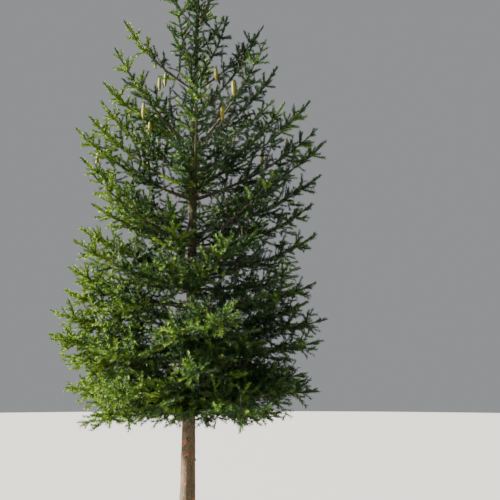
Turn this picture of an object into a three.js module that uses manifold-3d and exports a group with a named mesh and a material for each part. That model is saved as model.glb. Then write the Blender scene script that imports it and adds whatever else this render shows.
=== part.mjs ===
// A young Norway spruce with a cleared bole, rooted in the ground, as trunk, boughs and foliage.
// Millimetres, +Z up. The origin is the middle of the flat cut under the trunk, at ground level.
import * as THREE from "three";
import { mergeVertices } from "three/addons/utils/BufferGeometryUtils.js";
import Module from "manifold-3d";

const wasm = await Module();
wasm.setup();

// The trunk: a straight taper to the leader, with a flare of a few low buttresses at the ground.
const TREE_HEIGHT = 6400;
const TIP_DIAMETER = 6;
const TAPER = 0.022;
const FLARE_RADIUS = 25;
const FLARE_HEIGHT = 350;
const BUTTRESSES = 5;
const BUTTRESS_SHARE = 0.1;
const BUTTRESS_HEIGHT = 200;
const TRUNK_LEAN = new THREE.Vector2(35, -15);
const TRUNK_SIDES = 12;
const TRUNK_STEPS = 7;
const TRUNK_STEP_EASE = 1.6;
const TRUNK_PAST_WHORL = 40;
const SCAR_HEIGHTS = [640, 800, 960, 1070, 1180];
const SCAR_RADII = [27, 17];
const SCAR_STANDS_OUT = 9;
const SCAR_SUNK_SHARE = 0.6;
const SCAR_RISE = 0.25;
const SCAR_SIDES = 5;
const SCAR_TURN = 137;
const SCAR_TURN_SPREAD = 20;

// The yearly growth of the leader, which sets the heights of the whorls. Whorl 1 is the highest.
const WHORLS = 9;
const GROWTH_LEAST = 400;
const GROWTH_EXTRA = 280;
const GROWTH_PEAK_YEAR = 1.5;
const GROWTH_SPREAD = 2.6;

// The boughs: how many stand in each whorl, how each whorl is turned, and how far it reaches.
const BOUGHS_IN_WHORL = [3, 3, 4, 4, 4, 4, 4, 4, 4];
const WHORL_TURN = [20, 75, -6, 40, 4, 47, 28, 10, 62];
const VIGOUR = [0.95, 0.98, 1.06, 1.1, 1.2, 1.06, 0.95, 1.01, 0.97];
const LENGTH_MOST = 1300;
const LENGTH_YEARS = 2.3;
const LENGTH_SPREAD = 0.07;
const TURN_SPREAD = 8;
const LIFT_SPREAD = 3;
const START_LIFT = [48, -12];
const END_LIFT = [74, 5];
const END_LIFT_EASE = 1.3;
const LIFT_EASE = 1.2;
const PATH_STEPS = 24;
const BOUGH_SIDES = 5;
const BARE_SHARE = 0.21;
const FIRST_WHORL_WITH_BOUGHS = 4;
const BOUGH_RADIUS_PER_LENGTH = 0.0135;
const BOUGH_TIP_RADIUS = 2.5;
const BOUGH_TAPER_EASE = 0.8;

// The foliage: fronds stand at each year's node along a stem. A frond is a thin three-sided blade
// with pairs of pointed side shoots. All of it is larger than life, so that the crown is full.
const NODE_STEP = 215;
const NODE_LENGTH = 30;
const LAST_SHOOT_LEAST = 70;
const STEM_THICKENING = 1.15;
const FROND_SHARE = 0.66;
const FROND_LEAST = 90;
const FROND_MOST = 600;
const UPRIGHT_SHARE = 0.78;
const FROND_ANGLE = 48;
const FROND_ANGLE_SPREAD = 7;
const FACE_TURN = 30;
const FROND_TURN_SPREAD = 10;
const FROND_ROLL = 30;
const FROND_ROLL_SPREAD = 12;
const SHORTER_TRIES = [1, 1, 0.9, 0.9, 0.8, 0.8, 0.7, 0.7, 0.6, 0.5];
const FROND_THICKNESS = 0.03;
const PAIRS_BY_LENGTH = [
  [210, 2],
  [450, 3],
  [Infinity, 4],
];
const SHOOT_SHARE = [0.36, 0.52];
const TIP_SHOOT_SHARE = 0.3;
const SKIPPED_FACES = [2, 2, 2, 2, 1, 1, 1, 0, 0];
const FROND_WIDEST = 0.35;
const FROND_SPAN = 0.7;
const SHOOT_ANGLE = 47;
const SHOOT_FLUTTER = 0.12;
const SHOOT_REACH_SPREAD = 0.12;
const SHOOT_ROOT = 0.3;
const BODY_SHARE = 0.45;
const SHOOT_LIFT_LEAST = 2;
const WEDGE_HEIGHT_LEAST = 0.5;
const CROSSING_ALLOWED = 0.0001;

// The leader above the highest whorl: a bare shoot with a few short side shoots and a tuft.
const LEADER_RADIUS = 8;
const LEADER_TAPER = 0.6;
const LEADER_NODES = [0.32, 0.52, 0.72];
const LEADER_NODE_HALF = 0.02;
const LEADER_SHOOT_LENGTH = 120;
const LEADER_SHOOT_ANGLE = 38;

// The cones hang from the stems of these masses, given as whorl and number.
const MASSES_WITH_CONES = ["3_1", "3_3", "4_1", "4_2", "4_3", "4_4", "5_1", "5_3"];
const CONE_LENGTH = 150;
const CONE_RADIUS = 18;
const CONE_SIDES = 5;
const CONE_OUTLINE = [
  [0, 0],
  [0.13, 0.9],
  [0.68, 1],
  [1, 0],
];

// Gaps: between touching solids, and round the room that each mass keeps to.
const SEAT_GAP = 0.3;
const SMALLEST_EDGE = 0.1;
const ROOM_MARGIN = 5;
const LOWEST_HANG = 420;
const LAYER_WAVES = 3;
const LAYER_WAVE_HEIGHT = 110;
const LEADER_CONE_LIFT = 70;

const BARK = new THREE.MeshStandardMaterial({ color: 0x8b6a55, roughness: 0.9, metalness: 0 });
const LIMB_BARK = new THREE.MeshStandardMaterial({ color: 0x6f5644, roughness: 0.85, metalness: 0 });
const NEEDLES = new THREE.MeshStandardMaterial({ color: 0x40602a, roughness: 0.6, metalness: 0 });

const UP = new THREE.Vector3(0, 0, 1);
const radians = THREE.MathUtils.degToRad;
const lerp = THREE.MathUtils.lerp;

/** Repeatable draws, so that the same tree grows each time. */
class Draws {
  constructor(seed) {
    this.state = (seed * 7919 + 101) % 2147483647;
  }
  between(low, high) {
    this.state = (this.state * 48271) % 2147483647;
    return lerp(low, high, this.state / 2147483647);
  }
  around(middle, spread) {
    return this.between(middle - spread, middle + spread);
  }
}

// Heights and shapes that the whole tree shares

function yearlyGrowth(year) {
  const away = (year - GROWTH_PEAK_YEAR) / GROWTH_SPREAD;
  return GROWTH_LEAST + GROWTH_EXTRA * Math.exp(-away * away);
}

function whorlHeight(whorl) {
  let height = TREE_HEIGHT;
  for (let year = 0; year < whorl; year += 1) height -= yearlyGrowth(year);
  return height;
}

function trunkRadius(height) {
  const plain = (TIP_DIAMETER + TAPER * (TREE_HEIGHT - height)) / 2;
  return plain + FLARE_RADIUS * Math.exp(-height / FLARE_HEIGHT);
}

function trunkCentre(height) {
  const share = (height / TREE_HEIGHT) ** 2;
  return new THREE.Vector3(TRUNK_LEAN.x * share, TRUNK_LEAN.y * share, height);
}

/** A whorl's place from the top of the crown, 0, to its foot, 1. */
const whorlAge = (whorl) => (whorl - 1) / (WHORLS - 1);

/** How steeply a bough of this whorl climbs, in degrees, at a share of its length. */
function liftAt(whorl, share) {
  const age = whorlAge(whorl);
  const end = lerp(...END_LIFT, age ** END_LIFT_EASE);
  return lerp(lerp(...START_LIFT, age), end, share ** LIFT_EASE);
}

function whorlLength(whorl) {
  return VIGOUR[whorl - 1] * LENGTH_MOST * (1 - Math.exp(-whorl / LENGTH_YEARS));
}

/** The points of a bough's axis, from the middle of the trunk to its tip. */
function boughPath(whorl, azimuth, length, lift) {
  const points = [trunkCentre(whorlHeight(whorl))];
  const outward = new THREE.Vector3(Math.cos(radians(azimuth)), Math.sin(radians(azimuth)), 0);
  for (let step = 0; step < PATH_STEPS; step += 1) {
    const angle = radians(liftAt(whorl, (step + 0.5) / PATH_STEPS) + lift);
    const next = points[step].clone();
    next.addScaledVector(outward, (Math.cos(angle) * length) / PATH_STEPS);
    next.addScaledVector(UP, (Math.sin(angle) * length) / PATH_STEPS);
    points.push(next);
  }
  return points;
}

const layerPaths = new Map();

/** The height of a whorl's layer at a distance from the trunk. Layer 0 is the leader's. */
function layerHeight(whorl, distance) {
  if (whorl === 0) return whorlHeight(1) + distance * Math.tan(radians(LEADER_CONE_LIFT));
  if (whorl > WHORLS) return layerHeight(WHORLS, distance) - 2 * LOWEST_HANG;
  if (!layerPaths.has(whorl)) layerPaths.set(whorl, boughPath(whorl, 0, whorlLength(whorl), 0));
  const path = layerPaths.get(whorl);
  const start = path[0].x;
  let step = 1;
  while (step < PATH_STEPS && path[step].x - start < distance) step += 1;
  const [from, to] = [path[step - 1], path[step]];
  return lerp(from.z, to.z, (distance - (from.x - start)) / (to.x - from.x));
}

/** The height of the wavy boundary between a whorl's layer and the next one down. */
function boundaryHeight(whorl, distance, bearing) {
  const middle = (layerHeight(whorl, distance) + layerHeight(whorl + 1, distance)) / 2;
  if (whorl === 0) return middle;
  const wave = Math.sin(LAYER_WAVES * bearing + 2 * whorl) * LAYER_WAVE_HEIGHT;
  return middle + (wave * Math.min(distance, LENGTH_MOST)) / LENGTH_MOST;
}

/** The room a mass keeps to: a wedge of its whorl, between the layers above and below. */
class Room {
  constructor(whorl, azimuth, halfWedge, limb = []) {
    Object.assign(this, { whorl, azimuth, halfWedge, limb });
  }
  holds(point) {
    const centre = trunkCentre(point.z);
    const [x, y] = [point.x - centre.x, point.y - centre.y];
    const distance = Math.hypot(x, y);
    if (distance < trunkRadius(point.z) + ROOM_MARGIN) return false;
    const bearing = Math.atan2(y, x);
    if (point.z < boundaryHeight(this.whorl, distance, bearing) + ROOM_MARGIN) return false;
    if (this.whorl > 0) {
      if (point.z > boundaryHeight(this.whorl - 1, distance, bearing) - ROOM_MARGIN) return false;
      const turned = bearing - radians(this.azimuth);
      const away = Math.abs(Math.atan2(Math.sin(turned), Math.cos(turned)));
      if (away > radians(this.halfWedge)) return false;
      if (distance * Math.sin(radians(this.halfWedge) - away) < ROOM_MARGIN) return false;
    }
    return this.limb.every(([middle, radius]) => middle.distanceTo(point) > radius + ROOM_MARGIN);
  }
  holdsAll(points) {
    return points.every((point) => this.holds(point));
  }
}

// Shapes

/** A closed three.js geometry as a solid that can be joined and cut. */
function solidOf(geometry) {
  const bare = geometry.index ? geometry.toNonIndexed() : geometry.clone();
  bare.deleteAttribute("normal");
  bare.deleteAttribute("uv");
  const merged = mergeVertices(bare, 1e-3);
  const triVerts = new Uint32Array(merged.index.array);
  const vertProperties = merged.attributes.position.array;
  return new wasm.Manifold(new wasm.Mesh({ numProp: 3, vertProperties, triVerts }));
}

function geometryOf(solid) {
  const mesh = solid.getMesh();
  const geometry = new THREE.BufferGeometry();
  geometry.setAttribute("position", new THREE.BufferAttribute(mesh.vertProperties, mesh.numProp));
  geometry.setIndex(new THREE.BufferAttribute(mesh.triVerts, 1));
  geometry.computeVertexNormals();
  return geometry;
}

/** The direction of a path at one of its points. */
function tangentAt(path, index) {
  const before = path[Math.max(index - 1, 0)];
  const after = path[Math.min(index + 1, path.length - 1)];
  return after.clone().sub(before).normalize();
}

/** A limb along a path: a cylinder whose rings are laid on the path's points, with their radii. */
function limbSolid(path, radiusAt, sides, directions = path.map((_, i) => tangentAt(path, i))) {
  const rows = path.length - 1;
  const geometry = new THREE.CylinderGeometry(1, 1, rows, sides, rows);
  const position = geometry.attributes.position;
  for (let i = 0; i < position.count; i += 1) {
    const row = Math.round(position.getY(i) + rows / 2);
    const [x, z] = [position.getX(i), position.getZ(i)];
    const along = directions[row];
    const side = new THREE.Vector3(1, 0, 0).addScaledVector(along, -along.x);
    if (side.length() < 0.3) side.set(0, 1, 0).addScaledVector(along, -along.y);
    side.normalize();
    const up = side.clone().cross(along);
    const angle = Math.atan2(z, x);
    const radius = Math.hypot(x, z) > 1e-6 ? radiusAt(row, angle) : 0;
    const point = path[row].clone();
    point.addScaledVector(side, Math.cos(angle) * radius);
    point.addScaledVector(up, Math.sin(angle) * radius);
    position.setXYZ(i, point.x, point.y, point.z);
  }
  return solidOf(geometry);
}

/** A three-sided stem with a ring of corners at each of its points. */
class Stem {
  constructor(points, directions, radii, firstAngle) {
    this.firstAngle = firstAngle;
    this.rings = points.map((point, row) => {
      const [across, up] = crossDirections(directions[row]);
      return [0, 120, 240].map((turn) => {
        const angle = radians(firstAngle + turn);
        const corner = point.clone().addScaledVector(across, Math.cos(angle) * radii[row]);
        return corner.addScaledVector(up, Math.sin(angle) * radii[row]);
      });
    });
    this.sides = this.rings.slice(1).map((next, row) => {
      const ring = this.rings[row];
      const corners = [0, 1, 2].map((side) => [side, (side + 1) % 3]);
      const firsts = corners.map(([side, beside]) => [ring[side], next[beside], ring[beside]]);
      const seconds = corners.map(([side, beside]) => [ring[side], next[side], next[beside]]);
      return [...firsts, ...seconds];
    });
    this.startFace = this.rings[0];
    this.endFace = this.rings[this.rings.length - 1].toReversed();
  }
  get faces() {
    return [this.startFace, ...this.sides.flat(), this.endFace];
  }
}

/** The three wedges that make up a stretch of blade between two rings, with the tip of each last. */
function bladeWedges([left, right, top], [left2, right2, top2]) {
  return [
    [left, top, right, left2],
    [right, left2, top, right2],
    [top, right2, left2, top2],
  ];
}

/** The least height of wedges over their feet, below 0 where one is inside out. */
function leastHeight(wedges) {
  const heights = wedges.map(([first, second, third, tip]) => {
    return new THREE.Plane().setFromCoplanarPoints(first, second, third).distanceToPoint(tip);
  });
  return Math.min(...heights);
}

/** A frond that grows out of a three-cornered face: its sizes, its points and its faces. */
class Frond {
  constructor(foot, along, across, length, shootShare, draws) {
    Object.assign(this, { along, across, length, shootShare });
    this.root = foot[0].clone().add(foot[1]).add(foot[2]).divideScalar(3);
    this.face = along.clone().cross(across).normalize();
    this.pairs = PAIRS_BY_LENGTH.find(([most]) => length < most)[1];
    this.shoots = [1, -1].map((side) => this.sideShoots(side, draws));
    this.tip = this.at(1, 0, 0);
    this.rings = Array.from({ length: this.pairs }, (_, pair) => this.ring(pair));
    this.rings.push([this.tip, this.tip, this.tip]);
    this.foot = foot;
    this.rings[0] = this.footRing(foot);
    this.liftShoots();
  }
  /** A point at a share of the length, and so far across and out of the frond's plane. */
  at(share, across, out) {
    const point = this.root.clone().addScaledVector(this.along, share * this.length);
    return point.addScaledVector(this.across, across).addScaledVector(this.face, out);
  }
  /** How far the shoots reach at a share of the length. */
  reach(share) {
    return this.length * this.shootShare * (1 - ((share - FROND_WIDEST) / FROND_SPAN) ** 2);
  }
  /** The ends of the shoots on one side. */
  sideShoots(side, draws) {
    const angle = radians(SHOOT_ANGLE);
    return Array.from({ length: this.pairs }, (_, pair) => {
      const share = (pair + SHOOT_ROOT) / this.pairs;
      const reach = this.reach(share) * draws.around(1, SHOOT_REACH_SPREAD);
      const forward = share + (reach * Math.cos(angle)) / this.length;
      const flutter = reach * draws.around(0, SHOOT_FLUTTER);
      return this.at(forward, side * reach * Math.sin(angle), flutter);
    });
  }
  /** The three corners of the blade at the start of a pair: left, right and top. */
  ring(pair) {
    const share = pair / this.pairs;
    const width = BODY_SHARE * this.reach(share) * Math.sin(radians(SHOOT_ANGLE));
    const thickness = FROND_THICKNESS * this.length * (1 - 0.5 * share);
    return [
      this.at(share, width, -thickness / 3),
      this.at(share, -width, -thickness / 3),
      this.at(share, 0, thickness),
    ];
  }
  /** The corners of the foot in the order that twists the blade least. */
  footRing(foot) {
    const orders = [0, 1, 2].map((turn) => [
      foot[turn],
      foot[(turn + 2) % 3],
      foot[(turn + 1) % 3],
    ]);
    const isSound = (order) => leastHeight(bladeWedges(order, this.rings[1])) > WEDGE_HEIGHT_LEAST;
    const twist = (order) => {
      return order.reduce((sum, point, i) => sum + point.distanceTo(this.rings[1][i]), 0);
    };
    return orders.filter(isSound).sort((one, other) => twist(one) - twist(other))[0] ?? orders[0];
  }
  /** Lifts the shoots' ends that would lie under the faces that they grow out of. */
  liftShoots() {
    for (let row = 0; row < this.pairs; row += 1) {
      const [[left, right, top], [left2, right2]] = [this.rings[row], this.rings[row + 1]];
      const feet = [[left, top, left2], [right, right2, top]];
      feet.forEach((corners, side) => {
        const end = this.shoots[side][row];
        const out = new THREE.Plane().setFromCoplanarPoints(...corners);
        end.addScaledVector(out.normal, Math.max(SHOOT_LIFT_LEAST - out.distanceToPoint(end), 0));
      });
    }
  }
  get corners() {
    return [...this.shoots.flat(), ...this.rings.slice(1).flat()];
  }
  /** The faces of the frond. The foot is the face that it grows out of. */
  get faces() {
    const faces = [];
    this.rings.slice(0, -1).forEach(([left, right, top], row) => {
      const isLast = row === this.pairs - 1;
      const [left2, right2, top2] = this.rings[row + 1];
      const [leftShoot, rightShoot] = this.shoots.map((side) => side[row]);
      faces.push([left, leftShoot, left2], [left, top, leftShoot], [top, left2, leftShoot]);
      faces.push([right, right2, rightShoot], [right, rightShoot, top], [top, rightShoot, right2]);
      faces.push([left, left2, right]);
      if (!isLast) faces.push([left2, right2, right], [top, top2, left2], [top, right2, top2]);
    });
    return faces;
  }
}

function facetedSolid(faces) {
  return solidOf(new THREE.BufferGeometry().setFromPoints(faces.flat()));
}

/** A hanging cone, from its stalk inside the stem down to its tip. */
function coneSolid(top) {
  const outline = CONE_OUTLINE.map(
    ([down, out]) => new THREE.Vector2(out * CONE_RADIUS, -down * CONE_LENGTH),
  );
  const geometry = new THREE.LatheGeometry(outline.reverse(), CONE_SIDES);
  geometry.rotateX(Math.PI / 2);
  geometry.translate(top.x, top.y, top.z);
  return solidOf(geometry);
}

// Trunk

function trunkRadiusRound(height, angle) {
  const fading = Math.exp(-height / BUTTRESS_HEIGHT);
  return trunkRadius(height) * (1 + BUTTRESS_SHARE * Math.cos(BUTTRESSES * angle) * fading);
}

const trunkTop = () => whorlHeight(1) + TRUNK_PAST_WHORL;

/** The trunk's heights, closer together in the root flare. */
function trunkHeights() {
  const heights = [];
  for (let step = 0; step <= TRUNK_STEPS; step += 1) {
    heights.push(trunkTop() * (step / TRUNK_STEPS) ** TRUNK_STEP_EASE);
  }
  return heights;
}

/** The trunk, or the same shape grown by a gap, for cutting what stands on it. */
function trunkSolid(gap = 0) {
  const heights = trunkHeights();
  const path = heights.map((height) => trunkCentre(height));
  path[0].z -= gap;
  path[path.length - 1].z += gap;
  const radiusAt = (row, angle) => trunkRadiusRound(heights[row], angle) + gap;
  const upright = path.map(() => UP);
  return limbSolid(path, radiusAt, TRUNK_SIDES, upright);
}

/** The low knots that pruned boughs left on the cleared bole. */
function scarSolids() {
  const draws = new Draws(5);
  return SCAR_HEIGHTS.map((height, index) => {
    const azimuth = radians(index * SCAR_TURN + draws.around(0, SCAR_TURN_SPREAD));
    const outward = new THREE.Vector3(Math.cos(azimuth), Math.sin(azimuth), SCAR_RISE).normalize();
    const foot = trunkCentre(height);
    const reaches = [SCAR_SUNK_SHARE, 1].map((share) => share * (trunkRadius(height) + SCAR_STANDS_OUT));
    const path = reaches.map((reach) => foot.clone().addScaledVector(outward, reach));
    return limbSolid(path, (row) => SCAR_RADII[row], SCAR_SIDES);
  });
}

function makeTrunk() {
  return wasm.Manifold.union([trunkSolid(), ...scarSolids()]);
}

// Boughs and foliage

/** The radius of a bough at a share of its length. */
function boughRadius(length, share) {
  return lerp(length * BOUGH_RADIUS_PER_LENGTH, BOUGH_TIP_RADIUS, share ** BOUGH_TAPER_EASE);
}

/** One tapering bough, cut clear of the trunk. */
function makeBough(path, length, endStep, trunkCutter) {
  const steps = [0, 0.5, 1].map((share) => Math.round(share * endStep));
  const directions = steps.map((step) => tangentAt(path, step));
  const radiusAt = (row) => boughRadius(length, steps[row] / PATH_STEPS);
  const points = steps.map((step) => path[step]);
  return limbSolid(points, radiusAt, BOUGH_SIDES, directions).subtract(trunkCutter);
}

/** The side directions at a point of a stem: level across, and up. */
function crossDirections(along) {
  const across = along.clone().cross(UP);
  if (across.length() < 0.2) across.set(1, 0, 0);
  across.normalize();
  return [across, across.clone().cross(along).normalize()];
}

/** The places of a stem's rings, back from its tip: its foot, and two rings at each node. */
function stemPlaces(stemLength) {
  const nodes = Math.max(1, Math.floor((stemLength - LAST_SHOOT_LEAST) / NODE_STEP));
  const places = [stemLength];
  for (let node = nodes; node >= 1; node -= 1) {
    places.push(node * NODE_STEP + NODE_LENGTH / 2, node * NODE_STEP - NODE_LENGTH / 2);
  }
  return places;
}

/** The point of a path at a distance back from its tip, and the direction there. */
function backFromTip(path, spacing, distance) {
  const place = path.length - 1 - distance / spacing;
  const step = Math.max(0, Math.min(Math.floor(place), path.length - 2));
  const point = path[step].clone().lerp(path[step + 1], place - step);
  return [point, path[step + 1].clone().sub(path[step]).normalize()];
}

/** A stem and the fronds that have grown on it, none of which cross or leave the room. */
class Mass {
  constructor(stem, draws, room) {
    Object.assign(this, { stem, draws, room, faces: stem.faces, cones: [] });
    this.solids = [facetedSolid(stem.faces)];
  }
  /** Grows a frond of this length out of a face, if it fits. */
  tryFrond(foot, aim, side, length) {
    const shootShare = lerp(...SHOOT_SHARE, whorlAge(Math.max(this.room.whorl, 1)));
    const frond = new Frond(foot, aim, side, length, shootShare, this.draws);
    return this.room.holdsAll(frond.corners) && this.addFrond(frond);
  }
  /** Puts a frond in place of its foot, unless it meets something else. */
  addFrond(frond) {
    const solid = facetedSolid([frond.foot.toReversed(), ...frond.faces]);
    const meets = (other) => solid.intersect(other).volume() > CROSSING_ALLOWED;
    if (this.solids.some(meets)) return false;
    this.solids.push(solid);
    this.faces = this.faces.filter((face) => face !== frond.foot).concat(frond.faces);
    return true;
  }
  /** The directions along and across a side frond, which is rolled as a propeller's blade is. */
  sideFrondAim(along, turn) {
    const [across, up] = crossDirections(along);
    const turned = radians(this.draws.around(turn, FROND_TURN_SPREAD));
    const angle = radians(this.draws.around(FROND_ANGLE, FROND_ANGLE_SPREAD));
    const outward = across.multiplyScalar(Math.cos(turned)).addScaledVector(up, Math.sin(turned));
    const aim = along.clone().multiplyScalar(Math.cos(angle));
    aim.addScaledVector(outward, Math.sin(angle)).normalize();
    const side = along.clone().addScaledVector(aim, -along.dot(aim)).normalize();
    side.applyAxisAngle(aim, radians(this.draws.around(FROND_ROLL, FROND_ROLL_SPREAD)));
    return [aim, side];
  }
  /** A side frond on a face of the stem, at the first length and aim that fit. */
  addSideFrond(foot, along, turn, fullLength) {
    return SHORTER_TRIES.some((share) => {
      const [aim, side] = this.sideFrondAim(along, turn);
      return this.tryFrond(foot, aim, side, fullLength * share);
    });
  }
  /** The side fronds of one node, on most of the six faces round the stem. */
  addNode(row, along, fullLength) {
    const skipped = SKIPPED_FACES[this.room.whorl - 1];
    for (let number = skipped; number < 6; number += 1) {
      const [side, isSecond] = [(number + row) % 3, number > 2];
      const turn = this.stem.firstAngle + 60 + 120 * side + (isSecond ? -FACE_TURN : FACE_TURN);
      const foot = this.stem.sides[row][side + (isSecond ? 3 : 0)];
      const upright = Math.abs(Math.sin(radians(turn)));
      const length = fullLength * lerp(1, UPRIGHT_SHARE, upright);
      this.addSideFrond(foot, along, turn, length);
    }
  }
  /** The frond that ends the stem and reaches to the tip. */
  addTipFrond(end, tip) {
    const along = tip.clone().sub(end).normalize();
    const [across] = crossDirections(along);
    const [foot, length] = [this.stem.endFace, tip.distanceTo(end)];
    this.addFrond(new Frond(foot, along, across, length, TIP_SHOOT_SHARE, this.draws));
  }
  /** A cone halfway between two nodes, where it meets no frond. */
  addCone(points) {
    for (let row = points.length - 3; row > 0; row -= 2) {
      const top = points[row].clone().lerp(points[row + 1], 0.5);
      const cone = coneSolid(top);
      const isFree = this.solids.slice(1).every((solid) => cone.intersect(solid).isEmpty());
      if (!isFree || !this.room.holds(top.addScaledVector(UP, -CONE_LENGTH))) continue;
      this.cones.push(cone);
      return;
    }
  }
  solid() {
    return wasm.Manifold.union([facetedSolid(this.faces), ...this.cones]);
  }
}

/** One mass of foliage on a stem that follows the path, from its first step to its tip. */
function makeFoliage(path, length, firstStep, draws, room, hasCone) {
  const spacing = length / PATH_STEPS;
  const stemLength = length - firstStep * spacing;
  const places = stemPlaces(stemLength);
  const rows = places.map((place) => backFromTip(path, spacing, place));
  const points = rows.map(([point]) => point);
  const directions = rows.map(([, direction]) => direction);
  if (firstStep > 0) {
    directions[0] = tangentAt(path, firstStep);
    points[0].addScaledVector(directions[0], SEAT_GAP);
  }
  const radii = places.map((place) => STEM_THICKENING * boughRadius(length, 1 - place / length));
  const ridgeUp = room.whorl % 2 === 1;
  const stem = new Stem(points, directions, radii, ridgeUp ? 90 : -90);
  const mass = new Mass(stem, draws, room);
  mass.addTipFrond(points[points.length - 1], path[PATH_STEPS]);
  for (let row = places.length - 2; row > 0; row -= 2) {
    const full = Math.min(places[row] * FROND_SHARE + FROND_LEAST, FROND_MOST);
    mass.addNode(row, directions[row], full);
  }
  if (hasCone) mass.addCone(points);
  return mass.solid();
}

/** The leader's shoot, its short side shoots and its tuft, on the top of the trunk. */
function makeLeader() {
  const bottom = trunkCentre(trunkTop() + SEAT_GAP);
  const top = trunkCentre(TREE_HEIGHT);
  const shares = [0];
  for (const share of LEADER_NODES) shares.push(share - LEADER_NODE_HALF, share + LEADER_NODE_HALF);
  const points = shares.map((share) => bottom.clone().lerp(top, share));
  const radii = shares.map((share) => LEADER_RADIUS * (1 - LEADER_TAPER * share));
  const stem = new Stem(points, points.map(() => UP), radii, 90);
  const mass = new Mass(stem, new Draws(1), new Room(0));
  mass.addTipFrond(points[points.length - 1], top);
  for (let row = shares.length - 2; row > 0; row -= 2) {
    for (let side = 0; side < 3; side += 1) {
      const foot = stem.sides[row][side];
      const outward = foot[0].clone().add(foot[2]).divideScalar(2).sub(points[row]).setZ(0);
      outward.normalize();
      const angle = radians(LEADER_SHOOT_ANGLE);
      const along = UP.clone().multiplyScalar(Math.cos(angle));
      along.addScaledVector(outward, Math.sin(angle));
      mass.tryFrond(foot, along, outward.clone().cross(UP).normalize(), LEADER_SHOOT_LENGTH);
    }
  }
  return mass.solid();
}

// The tree

/** The outer skin of a solid, with tiny edges and any pocket sealed inside it taken away. */
function outerSkin(solid) {
  const skins = solid.simplify(SMALLEST_EDGE).decompose();
  return skins.reduce((most, skin) => (skin.volume() > most.volume() ? skin : most));
}

function addNode(tree, name, solid, material) {
  const mesh = new THREE.Mesh(geometryOf(outerSkin(solid)), material);
  mesh.name = name;
  tree.add(mesh);
}

/** The spheres along a bough that its mass of foliage keeps clear of. */
function limbGuard(path, length, endStep) {
  return path.slice(0, endStep).map((point, step) => [point, boughRadius(length, step / PATH_STEPS)]);
}

function growWhorl(tree, whorl, trunkCutter) {
  const count = BOUGHS_IN_WHORL[whorl - 1];
  const halfWedge = 180 / count;
  for (let number = 1; number <= count; number += 1) {
    const draws = new Draws(whorl * 10 + number);
    const wedgeMiddle = WHORL_TURN[whorl - 1] + (number - 1) * 2 * halfWedge;
    const azimuth = draws.around(wedgeMiddle, TURN_SPREAD);
    const length = whorlLength(whorl) * draws.around(1, LENGTH_SPREAD);
    const path = boughPath(whorl, azimuth, length, draws.around(0, LIFT_SPREAD));
    const hasBough = whorl >= FIRST_WHORL_WITH_BOUGHS;
    const firstStep = hasBough ? Math.round(BARE_SHARE * PATH_STEPS) : 0;
    const guard = limbGuard(path, length, firstStep);
    const room = new Room(whorl, wedgeMiddle, halfWedge, guard);
    const hasCone = MASSES_WITH_CONES.includes(`${whorl}_${number}`);
    let foliage = makeFoliage(path, length, firstStep, draws, room, hasCone);
    if (hasBough) {
      const bough = makeBough(path, length, firstStep, trunkCutter);
      addNode(tree, `bough_${whorl}_${number}`, bough, LIMB_BARK);
    } else {
      foliage = foliage.subtract(trunkCutter);
    }
    addNode(tree, `foliage_${whorl}_${number}`, foliage, NEEDLES);
  }
}

const tree = new THREE.Group();
const trunkCutter = trunkSolid(SEAT_GAP);
addNode(tree, "trunk", makeTrunk(), BARK);
addNode(tree, "leader", makeLeader(), NEEDLES);
for (let whorl = 1; whorl <= WHORLS; whorl += 1) growWhorl(tree, whorl, trunkCutter);

export default tree;
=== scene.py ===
"""The looks of a young Norway spruce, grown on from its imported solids. Metres, +Z up, ground at zero.

The trunk and boughs get a mesh with the bark's relief. The foliage grows by the same seeded rule as the
solids, carried on to finer twigs, needles, buds and cones within the same reach.
"""

import logging
import math
from dataclasses import dataclass, field
from enum import Enum
from functools import cached_property
from typing import ClassVar

import bpy
import numpy as np
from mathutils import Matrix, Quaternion, Vector


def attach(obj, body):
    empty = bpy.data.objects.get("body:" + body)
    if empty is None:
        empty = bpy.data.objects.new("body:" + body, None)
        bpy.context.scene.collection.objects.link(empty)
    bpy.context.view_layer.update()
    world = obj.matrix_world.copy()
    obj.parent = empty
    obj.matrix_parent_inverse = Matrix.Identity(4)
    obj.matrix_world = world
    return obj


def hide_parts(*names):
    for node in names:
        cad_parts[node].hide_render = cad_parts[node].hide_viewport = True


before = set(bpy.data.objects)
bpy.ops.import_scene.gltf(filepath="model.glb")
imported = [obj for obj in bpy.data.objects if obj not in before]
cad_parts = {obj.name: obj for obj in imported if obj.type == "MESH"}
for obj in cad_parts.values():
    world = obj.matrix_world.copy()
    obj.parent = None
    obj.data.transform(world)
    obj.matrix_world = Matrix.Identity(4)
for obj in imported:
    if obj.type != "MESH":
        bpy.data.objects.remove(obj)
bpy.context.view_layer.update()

LOG = logging.getLogger("spruce")
UP = Vector((0.0, 0.0, 1.0))
BODY = "root"
MOST_TRIANGLES = 190_000
SHORTEST_CROSS = 0.2
TINY = 1e-9
GOLDEN_TURN = 137.5
GOLDEN_ANGLE = math.radians(GOLDEN_TURN)
Pair = tuple[float, float]
Triple = tuple[float, float, float]
Colour = Triple
Arrays = tuple[np.ndarray, np.ndarray]


def lerp(low: float, high: float, share: float) -> float:
    """The value at a share of the way from low to high."""
    return low + (high - low) * share


def swing(first: Vector, second: Vector, angle: float) -> Vector:
    """The direction at an angle, in radians, from a first direction towards a second."""
    return first * math.cos(angle) + second * math.sin(angle)


def level_direction(bearing: float) -> Vector:
    """The level direction of a bearing, in radians."""
    return Vector((math.cos(bearing), math.sin(bearing), 0))


def cross_directions(along: Vector) -> tuple[Vector, Vector]:
    """The directions across a line.

    Args:
        along: The line's direction.

    Returns:
        A level direction, and one that points up as far as it can. On a nearly upright line the first
        is that of X.
    """
    across = along.cross(UP)
    if across.length < SHORTEST_CROSS:
        across = Vector((1.0, 0.0, 0.0))
    across.normalize()
    return across, across.cross(along).normalized()


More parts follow.
